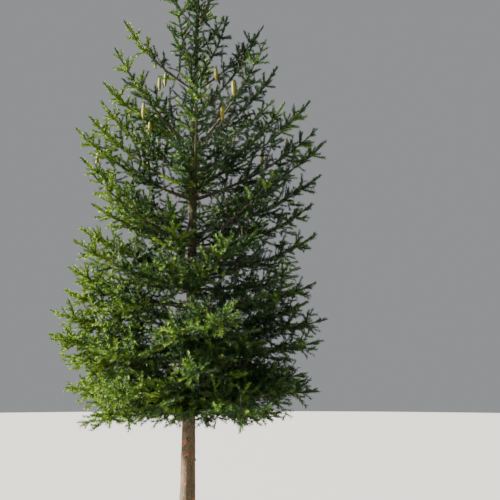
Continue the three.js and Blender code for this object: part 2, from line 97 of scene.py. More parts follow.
class Draws:
    """Repeatable draws, the same as those that shaped the solids."""

    SEED_STEP: ClassVar[int] = 7919
    SEED_START: ClassVar[int] = 101
    FACTOR: ClassVar[int] = 48271
    MODULUS: ClassVar[int] = 2147483647

    def __init__(self, seed: int) -> None:
        """Starts the draws of one seed."""
        self.state = (seed * self.SEED_STEP + self.SEED_START) % self.MODULUS

    def between(self, low: float, high: float) -> float:
        """The next draw, between two values."""
        self.state = (self.state * self.FACTOR) % self.MODULUS
        return lerp(low, high, self.state / self.MODULUS)

    def around(self, middle: float, spread: float) -> float:
        """The next draw, no further than spread from the middle."""
        return self.between(middle - spread, middle + spread)


class Tone(Enum):
    """The colour of a spray's needles, from this year's tips to the oldest ones inside, and also painted
    light and shade: lighter on the side towards the sun, darker inside the crown and high in it.
    """

    FRESH_AND_SUNLIT = "fresh"
    LIGHT = "light"
    DEEP = "deep"
    OLD_AND_SHADED = "old"


@dataclass(frozen=True)
class TreeShape:
    """The driving sizes of the tree, as its solids have them, and the lines worked out from them."""

    height: float = 6.4
    tip_diameter: float = 0.006
    taper: float = 0.022
    flare_radius: float = 0.025
    flare_height: float = 0.35
    buttresses: int = 5
    buttress_share: float = 0.1
    buttress_height: float = 0.2
    lean: Pair = (0.035, -0.015)
    trunk_past_whorl: float = 0.04
    growth_least: float = 0.4
    growth_extra: float = 0.28
    growth_peak_year: float = 1.5
    growth_spread: float = 2.6
    boughs_in_whorl: tuple[int, ...] = (3, 3, 4, 4, 4, 4, 4, 4, 4)
    whorl_turn: tuple[float, ...] = (20, 75, -6, 40, 4, 47, 28, 10, 62)
    vigour: tuple[float, ...] = (0.95, 0.98, 1.06, 1.1, 1.2, 1.06, 0.95, 1.01, 0.97)
    length_most: float = 1.3
    length_years: float = 2.3
    length_spread: float = 0.07
    turn_spread: float = 8
    lift_spread: float = 3
    start_lift: Pair = (48, -12)
    end_lift: Pair = (74, 5)
    end_lift_ease: float = 1.3
    lift_ease: float = 1.2
    path_steps: int = 24
    first_whorl_with_boughs: int = 4
    radius_per_length: float = 0.0135
    bough_tip_radius: float = 0.0025
    bough_taper_ease: float = 0.8
    layer_waves: int = 3
    layer_wave_turn: float = 2
    layer_wave_height: float = 0.11
    leader_cone_lift: float = 70
    lowest_hang: float = 0.42

    @property
    def whorls(self) -> int:
        """How many whorls of boughs the crown has."""
        return len(self.boughs_in_whorl)

    @property
    def trunk_top(self) -> float:
        """The height at which the leader begins."""
        return self.whorl_height(1) + self.trunk_past_whorl

    def yearly_growth(self, year: int) -> float:
        """The length of the leader's shoot of a past year."""
        away = (year - self.growth_peak_year) / self.growth_spread
        return self.growth_least + self.growth_extra * math.exp(-away * away)

    def whorl_height(self, whorl: int) -> float:
        """The height of a whorl. Whorl 1 is the highest."""
        return self.height - sum(self.yearly_growth(year) for year in range(whorl))

    def trunk_radius(self, height: float) -> float:
        """The mean radius of the trunk at a height."""
        plain = (self.tip_diameter + self.taper * (self.height - height)) / 2
        return plain + self.flare_radius * math.exp(-height / self.flare_height)

    def trunk_centre(self, height: float) -> Vector:
        """The middle of the trunk at a height."""
        share = (height / self.height) ** 2
        return Vector((self.lean[0] * share, self.lean[1] * share, height))

    def from_trunk(self, point: Vector) -> Vector:
        """The level way to a point from the middle of the trunk."""
        return point - self.trunk_centre(point.z)

    def distance_out(self, point: Vector) -> float:
        """How far a point is from the middle of the trunk."""
        out = self.from_trunk(point)
        return math.hypot(out.x, out.y)

    def whorl_age(self, whorl: float) -> float:
        """A whorl's place from the top of the crown, 0, to its foot, 1."""
        return (whorl - 1) / (self.whorls - 1)

    def lift_at(self, whorl: float, share: float) -> float:
        """How steeply a bough climbs at a place on it.

        Args:
            whorl: The bough's whorl, or its place between two.
            share: The place, as a share of the bough's length.

        Returns:
            The climb in degrees.
        """
        age = self.whorl_age(whorl)
        end = lerp(*self.end_lift, age**self.end_lift_ease)
        return lerp(lerp(*self.start_lift, age), end, share**self.lift_ease)

    def whorl_length(self, whorl: float) -> float:
        """The usual length of the boughs of a whorl.

        Args:
            whorl: The whorl, or a place between two.

        Returns:
            The length along the axis.
        """
        above = math.floor(whorl)
        vigour = lerp(self.vigour[above - 1], self.vigour[min(above, self.whorls - 1)], whorl - above)
        return vigour * self.length_most * (1 - math.exp(-whorl / self.length_years))

    def bough_radius(self, length: float, share: float) -> float:
        """The radius of a bough at a share of its length."""
        return lerp(length * self.radius_per_length, self.bough_tip_radius, share**self.bough_taper_ease)

    def place_height(self, whorl: float) -> float:
        """The height of a place between whorls, such as 2.5 for halfway from whorl 2 to whorl 3."""
        above = math.floor(whorl)
        return lerp(self.whorl_height(above), self.whorl_height(above + 1), whorl - above)

    def bough_path(self, whorl: float, azimuth: float, length: float, lift: float) -> list[Vector]:
        """The points of a bough's axis, from the middle of the trunk to its tip.

        Args:
            whorl: The bough's whorl, or its place between two.
            azimuth: Its bearing, in degrees.
            length: Its length along the axis.
            lift: What is added to the whorl's lift, in degrees.

        Returns:
            One point more than there are steps.
        """
        points = [self.trunk_centre(self.place_height(whorl))]
        outward = level_direction(math.radians(azimuth))
        for step in range(self.path_steps):
            angle = math.radians(self.lift_at(whorl, (step + 0.5) / self.path_steps) + lift)
            points.append(points[-1] + swing(outward, UP, angle) * (length / self.path_steps))
        return points

    @cached_property
    def layer_lines(self) -> dict[int, Arrays]:
        """Each whorl's layer as a line, by the rule of its boughs.

        Returns:
            The distances from the trunk and the heights there, by whorl.
        """
        lines = {}
        for whorl in range(1, self.whorls + 1):
            path = self.bough_path(whorl, 0, self.whorl_length(whorl), 0)
            outs = np.array([point.x - path[0].x for point in path])
            lines[whorl] = (outs, np.array([point.z for point in path]))
        return lines

    def layer_height(self, whorl: int, distance: float) -> float:
        """The height of a whorl's layer.

        Args:
            whorl: The whorl, or 0 for the leader's layer.
            distance: How far from the trunk.

        Returns:
            The height, on a straight line past the ends of the boughs.
        """
        if whorl == 0:
            return self.whorl_height(1) + distance * math.tan(math.radians(self.leader_cone_lift))
        if whorl > self.whorls:
            return self.layer_height(self.whorls, distance) - 2 * self.lowest_hang
        outs, heights = self.layer_lines[whorl]
        if distance <= outs[-1]:
            return float(np.interp(distance, outs, heights))
        slope = (heights[-1] - heights[-2]) / (outs[-1] - outs[-2])
        return float(heights[-1] + (distance - outs[-1]) * slope)

    def boundary_height(self, whorl: int, distance: float, bearing: float) -> float:
        """The height of the wavy boundary between a whorl's layer and the next one down.

        Args:
            whorl: The upper whorl, or 0 for the leader.
            distance: How far from the trunk.
            bearing: The bearing, in radians.

        Returns:
            The height.
        """
        middle = (self.layer_height(whorl, distance) + self.layer_height(whorl + 1, distance)) / 2
        if whorl == 0:
            return middle
        wave = math.sin(self.layer_waves * bearing + self.layer_wave_turn * whorl) * self.layer_wave_height
        return middle + wave * min(distance, self.length_most) / self.length_most


@dataclass
class Room:
    """The room that a mass keeps to: a wedge of its whorl, between the layers above and below."""

    shape: TreeShape
    whorl: int
    azimuth: float
    half_wedge: float
    margin: float = -0.03
    trunk_margin: float = 0.004

    def holds(self, point: Vector) -> bool:
        """Whether a point lies in the room.

        Args:
            point: The point to test.

        Returns:
            True if it is clear of the trunk, the layers' boundaries and the wedge's sides.
        """
        centre = self.shape.trunk_centre(point.z)
        x, y = point.x - centre.x, point.y - centre.y
        distance = math.hypot(x, y)
        if distance < self.shape.trunk_radius(point.z) + self.trunk_margin:
            return False
        bearing = math.atan2(y, x)
        if point.z < self.shape.boundary_height(self.whorl, distance, bearing) + self.margin:
            return False
        if self.whorl == 0:
            return True
        if point.z > self.shape.boundary_height(self.whorl - 1, distance, bearing) - self.margin:
            return False
        turned = bearing - math.radians(self.azimuth)
        away = abs(math.atan2(math.sin(turned), math.cos(turned)))
        return distance * math.sin(math.radians(self.half_wedge) - away) > self.margin


class Value:
    """A number socket that takes Python's operators and adds their Math nodes."""

    def __init__(self, shader: "Shader", socket: bpy.types.NodeSocket) -> None:
        """Wraps a socket of a shader."""
        self.shader = shader
        self.socket = socket

    def _math(self, operation: str, first: "Value | float", second: "Value | float") -> "Value":
        """One Math node on two values."""
        node = self.shader.add("ShaderNodeMath", {"operation": operation}, {0: first, 1: second})
        return Value(self.shader, node.outputs[0])

    def __add__(self, other: "Value | float") -> "Value":
        """The sum."""
        return self._math("ADD", self, other)

    def __radd__(self, other: float) -> "Value":
        """The sum, with a number first."""
        return self._math("ADD", other, self)

    def __sub__(self, other: "Value | float") -> "Value":
        """The difference."""
        return self._math("SUBTRACT", self, other)

    def __rsub__(self, other: float) -> "Value":
        """The difference, with a number first."""
        return self._math("SUBTRACT", other, self)

    def __mul__(self, other: "Value | float") -> "Value":
        """The product."""
        return self._math("MULTIPLY", self, other)

    def __rmul__(self, other: float) -> "Value":
        """The product, with a number first."""
        return self._math("MULTIPLY", other, self)

    def span(self, low: float, high: float) -> "Value":
        """This value from low to high, as 0 to 1, and held there outside.

        Args:
            low: What becomes 0.
            high: What becomes 1.

        Returns:
            The new value.
        """
        inputs = {"Value": self, "From Min": low, "From Max": high}
        node = self.shader.add("ShaderNodeMapRange", {"clamp": True}, inputs)
        return Value(self.shader, node.outputs["Result"])


class Shader:
    """A material in the making, with its principled surface."""

    EVEN: ClassVar[Triple] = (1.0, 1.0, 1.0)

    def __init__(self, name: str) -> None:
        """Makes the material with an empty surface.

        Args:
            name: The material's name.
        """
        self.material = bpy.data.materials.new(name)
        self.material.use_nodes = True
        self.tree = self.material.node_tree
        self.surface = self.tree.nodes["Principled BSDF"]

    def add(
        self, kind: str, settings: dict[str, object], inputs: dict[int | str, object]
    ) -> bpy.types.Node:
        """Adds a node, with its settings first and then its sockets.

        Args:
            kind: The node's type.
            settings: Its settings by name.
            inputs: Values, or sockets to link from, by the socket's name or number.

        Returns:
            The node.
        """
        node = self.tree.nodes.new(kind)
        for key, value in settings.items():
            setattr(node, key, value)
        self.feed(node, inputs)
        return node

    def feed(self, node: bpy.types.Node, inputs: dict[int | str, object]) -> None:
        """Sets or links the sockets of a node.

        Args:
            node: The node.
            inputs: Values, or sockets to link from, by the socket's name or number.
        """
        for key, value in inputs.items():
            source = value.socket if isinstance(value, Value) else value
            if isinstance(source, bpy.types.NodeSocket):
                self.tree.links.new(source, node.inputs[key])
            else:
                node.inputs[key].default_value = source

    def place(self, stretch: Triple) -> bpy.types.NodeSocket:
        """The place on the object, stretched along its axes."""
        place = self.add("ShaderNodeTexCoord", {}, {}).outputs["Object"]
        return self.add("ShaderNodeMapping", {}, {"Vector": place, "Scale": stretch}).outputs[0]

    def noise(self, scale: float, detail: float, stretch: Triple = EVEN) -> Value:
        """A noise of a scale, in waves per metre."""
        inputs = {"Vector": self.place(stretch), "Scale": scale, "Detail": detail}
        return Value(self, self.add("ShaderNodeTexNoise", {}, inputs).outputs[0])

    def cells(self, scale: float, stretch: Triple = EVEN) -> Value:
        """A pattern of cells of a scale, as the distance from the nearest edge.

        Args:
            scale: How many cells there are in a metre.
            stretch: How much the place is stretched along each axis.

        Returns:
            The distance.
        """
        inputs = {"Vector": self.place(stretch), "Scale": scale}
        node = self.add("ShaderNodeTexVoronoi", {"feature": "DISTANCE_TO_EDGE"}, inputs)
        return Value(self, node.outputs["Distance"])

    def blend(self, factor: Value, first: object, second: object) -> bpy.types.NodeSocket:
        """A colour between two others.

        Args:
            factor: The share of the second.
            first: A colour or a colour socket.
            second: Another.

        Returns:
            The blended colour's socket.
        """
        node = self.add("ShaderNodeMix", {"data_type": "RGBA"}, {"Factor": factor})
        ends = [one if isinstance(one, bpy.types.NodeSocket) else (*one, 1.0) for one in (first, second)]
        # The colours are the sockets after those for numbers and vectors
        self.feed(node, {6: ends[0], 7: ends[1]})
        return node.outputs[2]

    def finish(self, colour: object, roughness: object, height: Value, depth: float) -> bpy.types.Material:
        """Feeds the surface.

        Args:
            colour: The base colour's socket.
            roughness: A value or number.
            height: The bump's height, from 0 to 1.
            depth: How deep the bump is, in metres.

        Returns:
            The material.
        """
        bump = self.add("ShaderNodeBump", {}, {"Height": height, "Distance": depth})
        links = {"Base Color": colour, "Roughness": roughness, "Normal": bump.outputs[0]}
        self.feed(self.surface, links)
        return self.material


@dataclass(frozen=True)
class TrunkBark:
    """Thin scaly bark: brown plates with pale flakes, dark cracks and a reddish ground."""

    plate: Colour = (0.078, 0.051, 0.026)
    flake: Colour = (0.225, 0.168, 0.082)
    ground: Colour = (0.095, 0.042, 0.02)
    crack: Colour = (0.02, 0.013, 0.008)
    plate_scale: float = 55
    flake_scale: float = 160
    ground_scale: float = 7
    uncracked_scale: float = 24
    plate_stretch: Triple = (1.0, 1.0, 0.5)
    flake_stretch: Triple = (1.0, 1.0, 0.6)
    ground_stretch: Triple = (1.0, 1.0, 0.35)
    crack_edges: Pair = (0.01, 0.13)
    ground_edges: Pair = (0.46, 0.64)
    flake_edges: Pair = (0.46, 0.7)
    uncracked_edges: Pair = (0.42, 0.7)
    roughness: float = 0.95
    flake_smoothness: float = 0.15
    relief: float = 0.003

    def material(self) -> bpy.types.Material:
        """The bark of the trunk, with plates longer than they are wide.

        Returns:
            The material.
        """
        shader = Shader("trunk_bark")
        plates = shader.cells(self.plate_scale, self.plate_stretch)
        flakes = shader.noise(self.flake_scale, detail=5, stretch=self.flake_stretch)
        ground = shader.noise(self.ground_scale, detail=3, stretch=self.ground_stretch)
        uncracked = shader.noise(self.uncracked_scale, detail=2, stretch=self.plate_stretch)
        cracked = plates.span(*self.crack_edges)
        colour = shader.blend(ground.span(*self.ground_edges), self.plate, self.ground)
        colour = shader.blend(flakes.span(*self.flake_edges), colour, self.flake)
        whole = (cracked + uncracked.span(*self.uncracked_edges)).span(0.0, 1.0)
        colour = shader.blend(whole, self.crack, colour)
        roughness = self.roughness - flakes * self.flake_smoothness
        return shader.finish(colour, roughness, cracked * 0.5 + flakes * 0.5, self.relief)


@dataclass(frozen=True)
class Mottled:
    """A finish mottled between two colours, by a broad noise and a fine one that is also its relief."""

    name: str
    dark: Colour
    light: Colour
    fine_scale: float = 240
    fine_detail: float = 4
    fine_share: float = 0.6
    broad_scale: float = 18
    broad_detail: float = 2
    edges: Pair = (0.36, 0.62)
    roughness: float = 0.9
    fine_roughness: float = -0.15
    relief: float = 0.0012
    specular: float = 0.5

    def material(self) -> bpy.types.Material:
        """The finish on the object's own coordinates.

        Returns:
            The material.
        """
        shader = Shader(self.name)
        shader.feed(shader.surface, {"Specular IOR Level": self.specular})
        fine = shader.noise(self.fine_scale, self.fine_detail)
        broad = shader.noise(self.broad_scale, self.broad_detail)
        mottle = fine * self.fine_share + broad * (1 - self.fine_share)
        colour = shader.blend(mottle.span(*self.edges), self.dark, self.light)
        return shader.finish(colour, self.roughness + fine * self.fine_roughness, fine, self.relief)


BOUGH_BARK = Mottled("bough_bark", dark=(0.035, 0.023, 0.014), light=(0.105, 0.070, 0.042))
TWIG_BARK = Mottled("twig_bark", dark=(0.065, 0.040, 0.017), light=(0.155, 0.105, 0.042))
BUD_SCALES = Mottled("bud_scales", dark=(0.20, 0.10, 0.04), light=(0.42, 0.24, 0.10))

# Orange-brown callus round the paler wood of a pruned knot
SCAR_WOOD = Mottled(
    "pruned_knots", dark=(0.10, 0.032, 0.016), light=(0.42, 0.135, 0.042), fine_scale=130, fine_share=1.0,
    edges=(0.35, 0.65), roughness=0.75, fine_roughness=0.1, relief=0.0015,
)

# Ripening cones, yellow-green and tan
CONE_COAT = Mottled(
    "cones", dark=(0.185, 0.205, 0.018), light=(0.25, 0.19, 0.026), fine_scale=420, fine_detail=3,
    fine_share=0.3, broad_scale=28, edges=(0.4, 0.6), roughness=0.62, fine_roughness=-0.12, relief=0.0006,
    specular=0.2,
)

# The plain pale floor of a studio
FLOOR_PAINT = Mottled(
    "studio_floor", dark=(0.42, 0.415, 0.405), light=(0.4074, 0.40255, 0.39285), fine_scale=3,
    fine_detail=2, fine_share=1.0, edges=(0.0, 1.0), roughness=0.8, fine_roughness=0.0, relief=0.0005,
)


@dataclass(frozen=True)
class NeedleCoat:
    """The waxy green of needles of one tone, and how full its shoots are against the mean."""

    shade: Colour
    light: Colour
    roughness: float
    fullness: float

    def finish(self, tone: Tone) -> Mottled:
        """The coat as a finish, a little uneven from needle to needle.

        Args:
            tone: The tone that it is for.

        Returns:
            The finish.
        """
        return Mottled(
            f"needles_{tone.value}", self.shade, self.light, fine_scale=900, fine_detail=1,
            fine_share=0.0, broad_scale=38, edges=(0.32, 0.68), roughness=self.roughness,
            fine_roughness=0.12, relief=0.0002, specular=0.18,
        )


# The tones run from young and sunlit to aged and shaded: the lighter greens stand partly for young needles
# and partly for painted sunlight, the darker ones partly for older needles and partly for painted shade
# inside and high in the crown.
NEEDLE_COATS = {
    Tone.FRESH_AND_SUNLIT: NeedleCoat((0.122, 0.208, 0.017), (0.192, 0.285, 0.028), 0.55, 1.25),
    Tone.LIGHT: NeedleCoat((0.060, 0.130, 0.016), (0.110, 0.196, 0.024), 0.55, 1.15),
    Tone.DEEP: NeedleCoat((0.014, 0.045, 0.010), (0.030, 0.080, 0.018), 0.6, 0.95),
    Tone.OLD_AND_SHADED: NeedleCoat((0.005, 0.016, 0.005), (0.011, 0.031, 0.009), 0.6, 0.6),
}


class ReliefPattern(Enum):
    """The textures that raise a relief."""

    SWELLINGS = "CLOUDS"
    SCALES = "VORONOI"


@dataclass(frozen=True)
class Relief:
    """A relief raised on a mesh by a texture of a size."""

    name: str
    pattern: ReliefPattern
    size: float
    height: float
    level: float = 0.5

    def raise_on(self, piece: bpy.types.Object) -> None:
        """Adds the relief to a piece as a modifier.

        Args:
            piece: The piece.
        """
        texture = bpy.data.textures.new(self.name, self.pattern.value)
        texture.noise_scale = self.size
        if self.pattern is ReliefPattern.SCALES:
            texture.distance_metric = "DISTANCE"
            texture.weight_1, texture.weight_2 = -1.0, 1.0
        modifier = piece.modifiers.new(self.name, "DISPLACE")
        modifier.texture = texture
        modifier.texture_coords = "LOCAL"
        modifier.mid_level = self.level
        modifier.strength = self.height


def deselect_all() -> None:
    """Leaves object mode with nothing selected, because operators act on all that is selected."""
    if bpy.context.object and bpy.context.object.mode != "OBJECT":
        bpy.ops.object.mode_set(mode="OBJECT")
    bpy.ops.object.select_all(action="DESELECT")


def start_ring(
    sides: int, radius: float, place: Vector, facing: Vector | None = None
) -> bpy.types.Object:
    """Adds a filled ring and starts to edit it.

    Args:
        sides: How many sides it has.
        radius: Its radius.
        place: Its middle.
        facing: The direction that it faces, if it isn't up.

    Returns:
        The new object, in edit mode, with the whole ring selected.
    """
    deselect_all()
    turned = facing.to_track_quat("Z", "Y").to_euler() if facing else (0, 0, 0)
    bpy.ops.mesh.primitive_circle_add(
        vertices=sides, radius=radius, fill_type="NGON", location=place, rotation=turned
    )
    piece = bpy.context.object
    bpy.ops.object.transform_apply(location=True, rotation=True, scale=True)
    bpy.ops.object.mode_set(mode="EDIT")
    bpy.ops.mesh.select_all(action="SELECT")
    return piece


def draw_on(move: Vector, middle: Vector, growth: Triple) -> None:
    """Extrudes the selected ring by a move, and scales it about its new middle."""
    bpy.ops.mesh.extrude_region_move(TRANSFORM_OT_translate={"value": move})
    bpy.ops.transform.resize(value=growth, center_override=middle)


def face_outwards() -> None:
    """Turns the faces of the mesh in edit mode outwards."""
    bpy.ops.mesh.select_all(action="SELECT")
    bpy.ops.mesh.normals_make_consistent(inside=False)


def subdivide(piece: bpy.types.Object, levels: int) -> None:
    """Adds a smooth subdivision to a piece."""
    smooth = piece.modifiers.new("smooth", "SUBSURF")
    smooth.levels = smooth.render_levels = levels


def apply_modifiers(piece: bpy.types.Object) -> None:
    """Applies the modifiers of the active piece in their order."""
    for modifier in list(piece.modifiers):
        bpy.ops.object.modifier_apply(modifier=modifier.name)


def joined(parts: list[bpy.types.Object], name: str) -> bpy.types.Object:
    """Joins parts into one piece.

    Args:
        parts: The parts.
        name: The piece's name.

    Returns:
        The piece, selected and active.
    """
    deselect_all()
    for part in parts:
        part.select_set(True)
    bpy.context.view_layer.objects.active = parts[0]
    bpy.ops.object.join()
    piece = bpy.context.object
    piece.name = piece.data.name = name
    return piece


def mesh_piece(
    name: str, points: np.ndarray, corners: np.ndarray, material: bpy.types.Material
) -> bpy.types.Object:
    """A piece from joined arrays of points and triangles.

    Args:
        name: The piece's name.
        points: The points, one a row.
        corners: Three point numbers a row.
        material: The piece's material.

    Returns:
        The object, at the origin.
    """
    mesh = bpy.data.meshes.new(name)
    mesh.vertices.add(len(points))
    mesh.vertices.foreach_set("co", np.ascontiguousarray(points, np.float32).ravel())
    mesh.loops.add(corners.size)
    mesh.loops.foreach_set("vertex_index", np.ascontiguousarray(corners, np.int32).ravel())
    mesh.polygons.add(len(corners))
    mesh.polygons.foreach_set("loop_start", np.arange(0, corners.size, 3, dtype=np.int32))
    mesh.update(calc_edges=True)
    mesh.validate()
    mesh.materials.append(material)
    piece = bpy.data.objects.new(name, mesh)
    bpy.context.scene.collection.objects.link(piece)
    return piece


def split_faces(faces: np.ndarray) -> list[np.ndarray]:
    """The faces in parts of under the limit of triangles."""
    parts = math.ceil(len(faces) / MOST_TRIANGLES)
    return np.array_split(faces, parts)


def unit(vectors: np.ndarray) -> np.ndarray:
    """The directions of rows of vectors."""
    return vectors / np.maximum(np.linalg.norm(vectors, axis=1, keepdims=True), TINY)


def ring_points(middle: Vector, across: Vector, up: Vector, radius: float, sides: int) -> list[Vector]:
    """The corners of a ring round a middle, across two directions."""
    angles = (2 * math.pi * side / sides for side in range(sides))
    return [middle + swing(across, up, angle) * radius for angle in angles]


def tube_faces(first: int, rows: int, sides: int) -> list[tuple[int, int, int]]:
    """The triangles of a tube that is closed at both ends.

    Args:
        first: The number of its first point.
        rows: How many rings it has, one after the other.
        sides: How many points each ring has.

    Returns:
        Three point numbers a face.
    """
    faces = []
    for row in range(first, first + (rows - 1) * sides, sides):
        for side in range(sides):
            a, b = row + side, row + (side + 1) % sides
            faces += [(a, b, b + sides), (a, b + sides, a + sides)]
    last = first + (rows - 1) * sides
    for ring in (range(first + sides - 1, first - 1, -1), range(last, last + sides)):
        faces += [(ring[0], ring[side], ring[side + 1]) for side in range(1, sides - 1)]
    return faces


def hand_over(piece: bpy.types.Object, nodes: list[str]) -> None:
    """Makes a piece ride on the tree's body, and hides the solids that it stands for.

    Args:
        piece: The finished piece.
        nodes: The solids that the piece replaces.
    """
    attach(piece, BODY)
    if nodes:
        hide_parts(*nodes)
    triangles = sum(len(face.vertices) - 2 for face in piece.data.polygons)
    LOG.info("%s: %d triangles", piece.name, triangles)


class Rank(Enum):
    """What a twig is, from the stems that stand on the trunk to the shortest shoots."""

    STEM = 1
    BRANCH = 2
    TWIG = 3
    SHOOT = 4


@dataclass
class Twig:
    """A twig or shoot of the crown, from its root to its tip."""

    points: list[Vector]
    radii: Pair
    rank: Rank
    tone: Tone
    bare_share: float = 0.0
    needle_angle: float = 43


@dataclass
class Spot:
    """A place on a stem, and the direction of the stem there."""

    point: Vector
    along: Vector

    def outward(self, turn: float) -> Vector:
        """The direction across the stem at a turn round it, in radians."""
        return swing(*cross_directions(self.along), turn)


@dataclass
class Bough:
    """The axis of a bough or slim branch, where it stands in the crown, and its source of draws."""

    whorl: float
    path: list[Vector]
    length: float
    room: Room | None
    reach: float
    draws: Draws

    def back_from_tip(self, distance: float) -> Spot:
        """A spot on the bough.

        Args:
            distance: How far back it is from the tip.

        Returns:
            The spot.
        """
        steps = len(self.path) - 1
        place = steps - distance / (self.length / steps)
        step = max(0, min(math.floor(place), steps - 1))
        below, above = self.path[step], self.path[step + 1]
        return Spot(below.lerp(above, place - step), (above - below).normalized())


# In these rules a pair is a value at the top of the crown and at its foot, or a draw's middle and spread.
# A foot's radius is the least one and what each metre of length adds, and other radii are foot and tip.


@dataclass(frozen=True)
class MassRule:
    """The side branches at the yearly nodes of a bough, as the solids have them."""

    seed_step: int = 10
    node_step: float = 0.215
    last_shoot_least: float = 0.07
    length_share: Pair = (0.24, 0.66)
    length_extra: Pair = (0.03, 0.09)
    length_most: float = 0.6
    upright_share: float = 0.78
    angle: Pair = (52, 9)
    turn_spread: float = 14
    roll: Pair = (30, 14)
    last_length: Pair = (0.97, 0.06)
    shorter_tries: tuple[float, ...] = (1, 0.9, 0.8, 0.7, 0.6, 0.5)
    faces: int = 6
    face_turn: int = 60
    skipped_faces: tuple[int, ...] = (4, 4, 4, 3, 3, 2, 2, 2, 2)
    pairs: Pair = (0.2, 1.7)
    pair_place: Pair = (0.5, 0.12)
    pair_share: float = 0.55
    bare_foot: float = 0.13
    slim_bare_foot: float = 0.1


@dataclass(frozen=True)
class SlimRule:
    """The slim branches that stand on the trunk between the whorls.

    Those that make the outline are placed: by their place between whorls, bearing, length and added lift.
    """

    seed: int = 500
    placed_seed_step: int = 100
    rise: Pair = (0.28, 0.042)
    rise_ease: float = 0.6
    place_spread: float = 0.3
    below_lowest: float = 0.55
    length: Pair = (0.5, 0.88)
    length_spread: float = 0.14
    first_turn: Pair = (128, 15)
    turn_spread: float = 12
    lift: Pair = (4, 8)
    foot_radius: Pair = (0.003, 0.005)
    tip_radius: float = 0.002
    bare_share: float = 0.1
    placed: tuple[tuple[float, float, float, float], ...] = (
        (3.4, 350, 0.98, 8), (3.95, 188, 1.08, -5), (3.97, 352, 1.14, 5), (4.55, 176, 1.24, 6),
        (4.6, 20, 1.34, 10), (4.75, 352, 1.4, 3), (4.8, 196, 1.2, 0), (5.35, 8, 1.56, 4),
        (5.45, 184, 1.24, 2), (5.75, 352, 1.34, -1), (5.9, 176, 1.06, -2), (6.3, 6, 1.3, 6),
        (6.6, 182, 1.14, 4), (6.75, 2, 1.26, 4), (7.45, 178, 1.24, 9), (7.75, 181, 1.22, 7),
        (7.6, 8, 1.24, 7), (8.4, 184, 1.26, 4), (8.45, 356, 1.22, 4), (8.65, 172, 1.24, 4),
        (4.7, 276, 0.6, 6), (5.2, 266, 0.75, 6), (6.62, 262, 0.85, 4), (7.3, 281, 0.85, 4),
        (8.33, 268, 1.05, 4), (8.72, 290, 0.95, 4), (9.25, 258, 0.95, 4), (9.36, 283, 0.8, 4),
        (9.48, 238, 0.75, 4), (9.55, 268, 0.7, 4), (9.2, 12, 1.12, 12), (9.32, 338, 1.1, 12),
        (9.4, 312, 0.95, 9), (9.3, 212, 0.95, 9),
    )


@dataclass(frozen=True)
class TrunkShootRule:
    """The short shoots on the trunk within the crown."""

    seed: int = 900
    step: Pair = (0.06, 0.01)
    angle: Pair = (78, 12)
    length: Pair = (0.115, 0.16)
    length_spread: float = 0.3
    sunk: float = 0.8
    light_share: float = 0.3
    radii: Pair = (0.0016, 0.001)


@dataclass(frozen=True)
class ShootRule:
    """The short shoots that clothe a bough, its needled axis and the shoot of its last year."""

    angle: Pair = (56, 9)
    length_spread: float = 0.3
    radii: Pair = (0.0014, 0.001)
    clothing_from: float = 0.24
    clothing_step: Pair = (0.115, 0.04)
    clothing_step_spread: float = 0.012
    clothing_turn: Pair = (90, 105)
    clothing_length: Pair = (0.075, 0.11)
    axis_bare_foot: float = 0.12
    axis_least: float = 0.1
    axis_step: float = 0.08
    axis_radius_share: float = 0.7
    end_nodes: float = 2.4
    end_steps: int = 8
    upper_end_steps: int = 5
    last_upper_whorl: int = 2
    end_radii: Pair = (0.0035, 0.0018)
    end_needle_angle: float = 26
    end_clusters: tuple[tuple[float, int, float], ...] = ((0.22, 4, 0.12), (0.31, 2, 0.09), (0.4, 4, 0.13))
    # The first whorl whose end shoot keeps its own tone; higher ones get the deep green as painted shade.
    first_end_out_of_painted_shade: float = 6.5


@dataclass(frozen=True)
class BranchRule:
    """A side branch and where its twigs stand."""

    sag: Pair = (0.0, -0.05)
    tip_rise: Pair = (0.14, 0.03)
    wander: float = 0.05
    point_step: float = 0.06
    steps_least: int = 3
    foot_radius: Pair = (0.0016, 0.0032)
    tip_radius: float = 0.0011
    bare_share: float = 0.15
    twig_most: Pair = (0.125, 0.16)
    twig_share: float = 0.5
    twig_loss: float = 0.45
    twig_length_spread: float = 0.18
    twig_step: Pair = (0.098, 0.064)
    twig_step_spread: float = 0.012
    first_twig: Pair = (0.9, 0.3)
    twigless_tip: float = 0.06
    face_twig_every: int = 3
    face_twig_share: float = 0.6
    outer_face_share: float = 0.65


@dataclass(frozen=True)
class TwigRule:
    """A twig, and the fine shoots along it if it is long."""

    angle: Pair = (56, 8)
    flutter: float = 0.22
    level: float = 0.55
    droop: float = 0.07
    steepest_down: float = -0.7
    tip_most: float = 0.06
    foot_radius: Pair = (0.0008, 0.004)
    tip_radius: float = 0.0009
    fine_from: float = 0.13
    first_fine: Pair = (0.35, 0.08)
    last_fine: float = 0.88
    fine_share: float = 0.5
    fine_extra: float = 0.02
    fine_most: float = 0.07
    fine_length_spread: float = 0.2
    fine_flutter: float = 0.35
    fine_radii: Pair = (0.0012, 0.0009)
    fine_step: float = 0.09
    fine_step_spread: float = 0.25


@dataclass(frozen=True)
class LeaderRule:
    """The top shoot, with the places and lengths of the short shoots round it."""

    seed: int = 1
    reach: float = 0.1
    steps: int = 10
    radii: Pair = (0.0075, 0.0025)
    in_cluster: int = 4
    clusters: tuple[Pair, ...] = (
        (0.3, 0.096), (0.5, 0.096), (0.72, 0.096), (0.12, 0.07), (0.86, 0.07), (0.97, 0.04)
    )


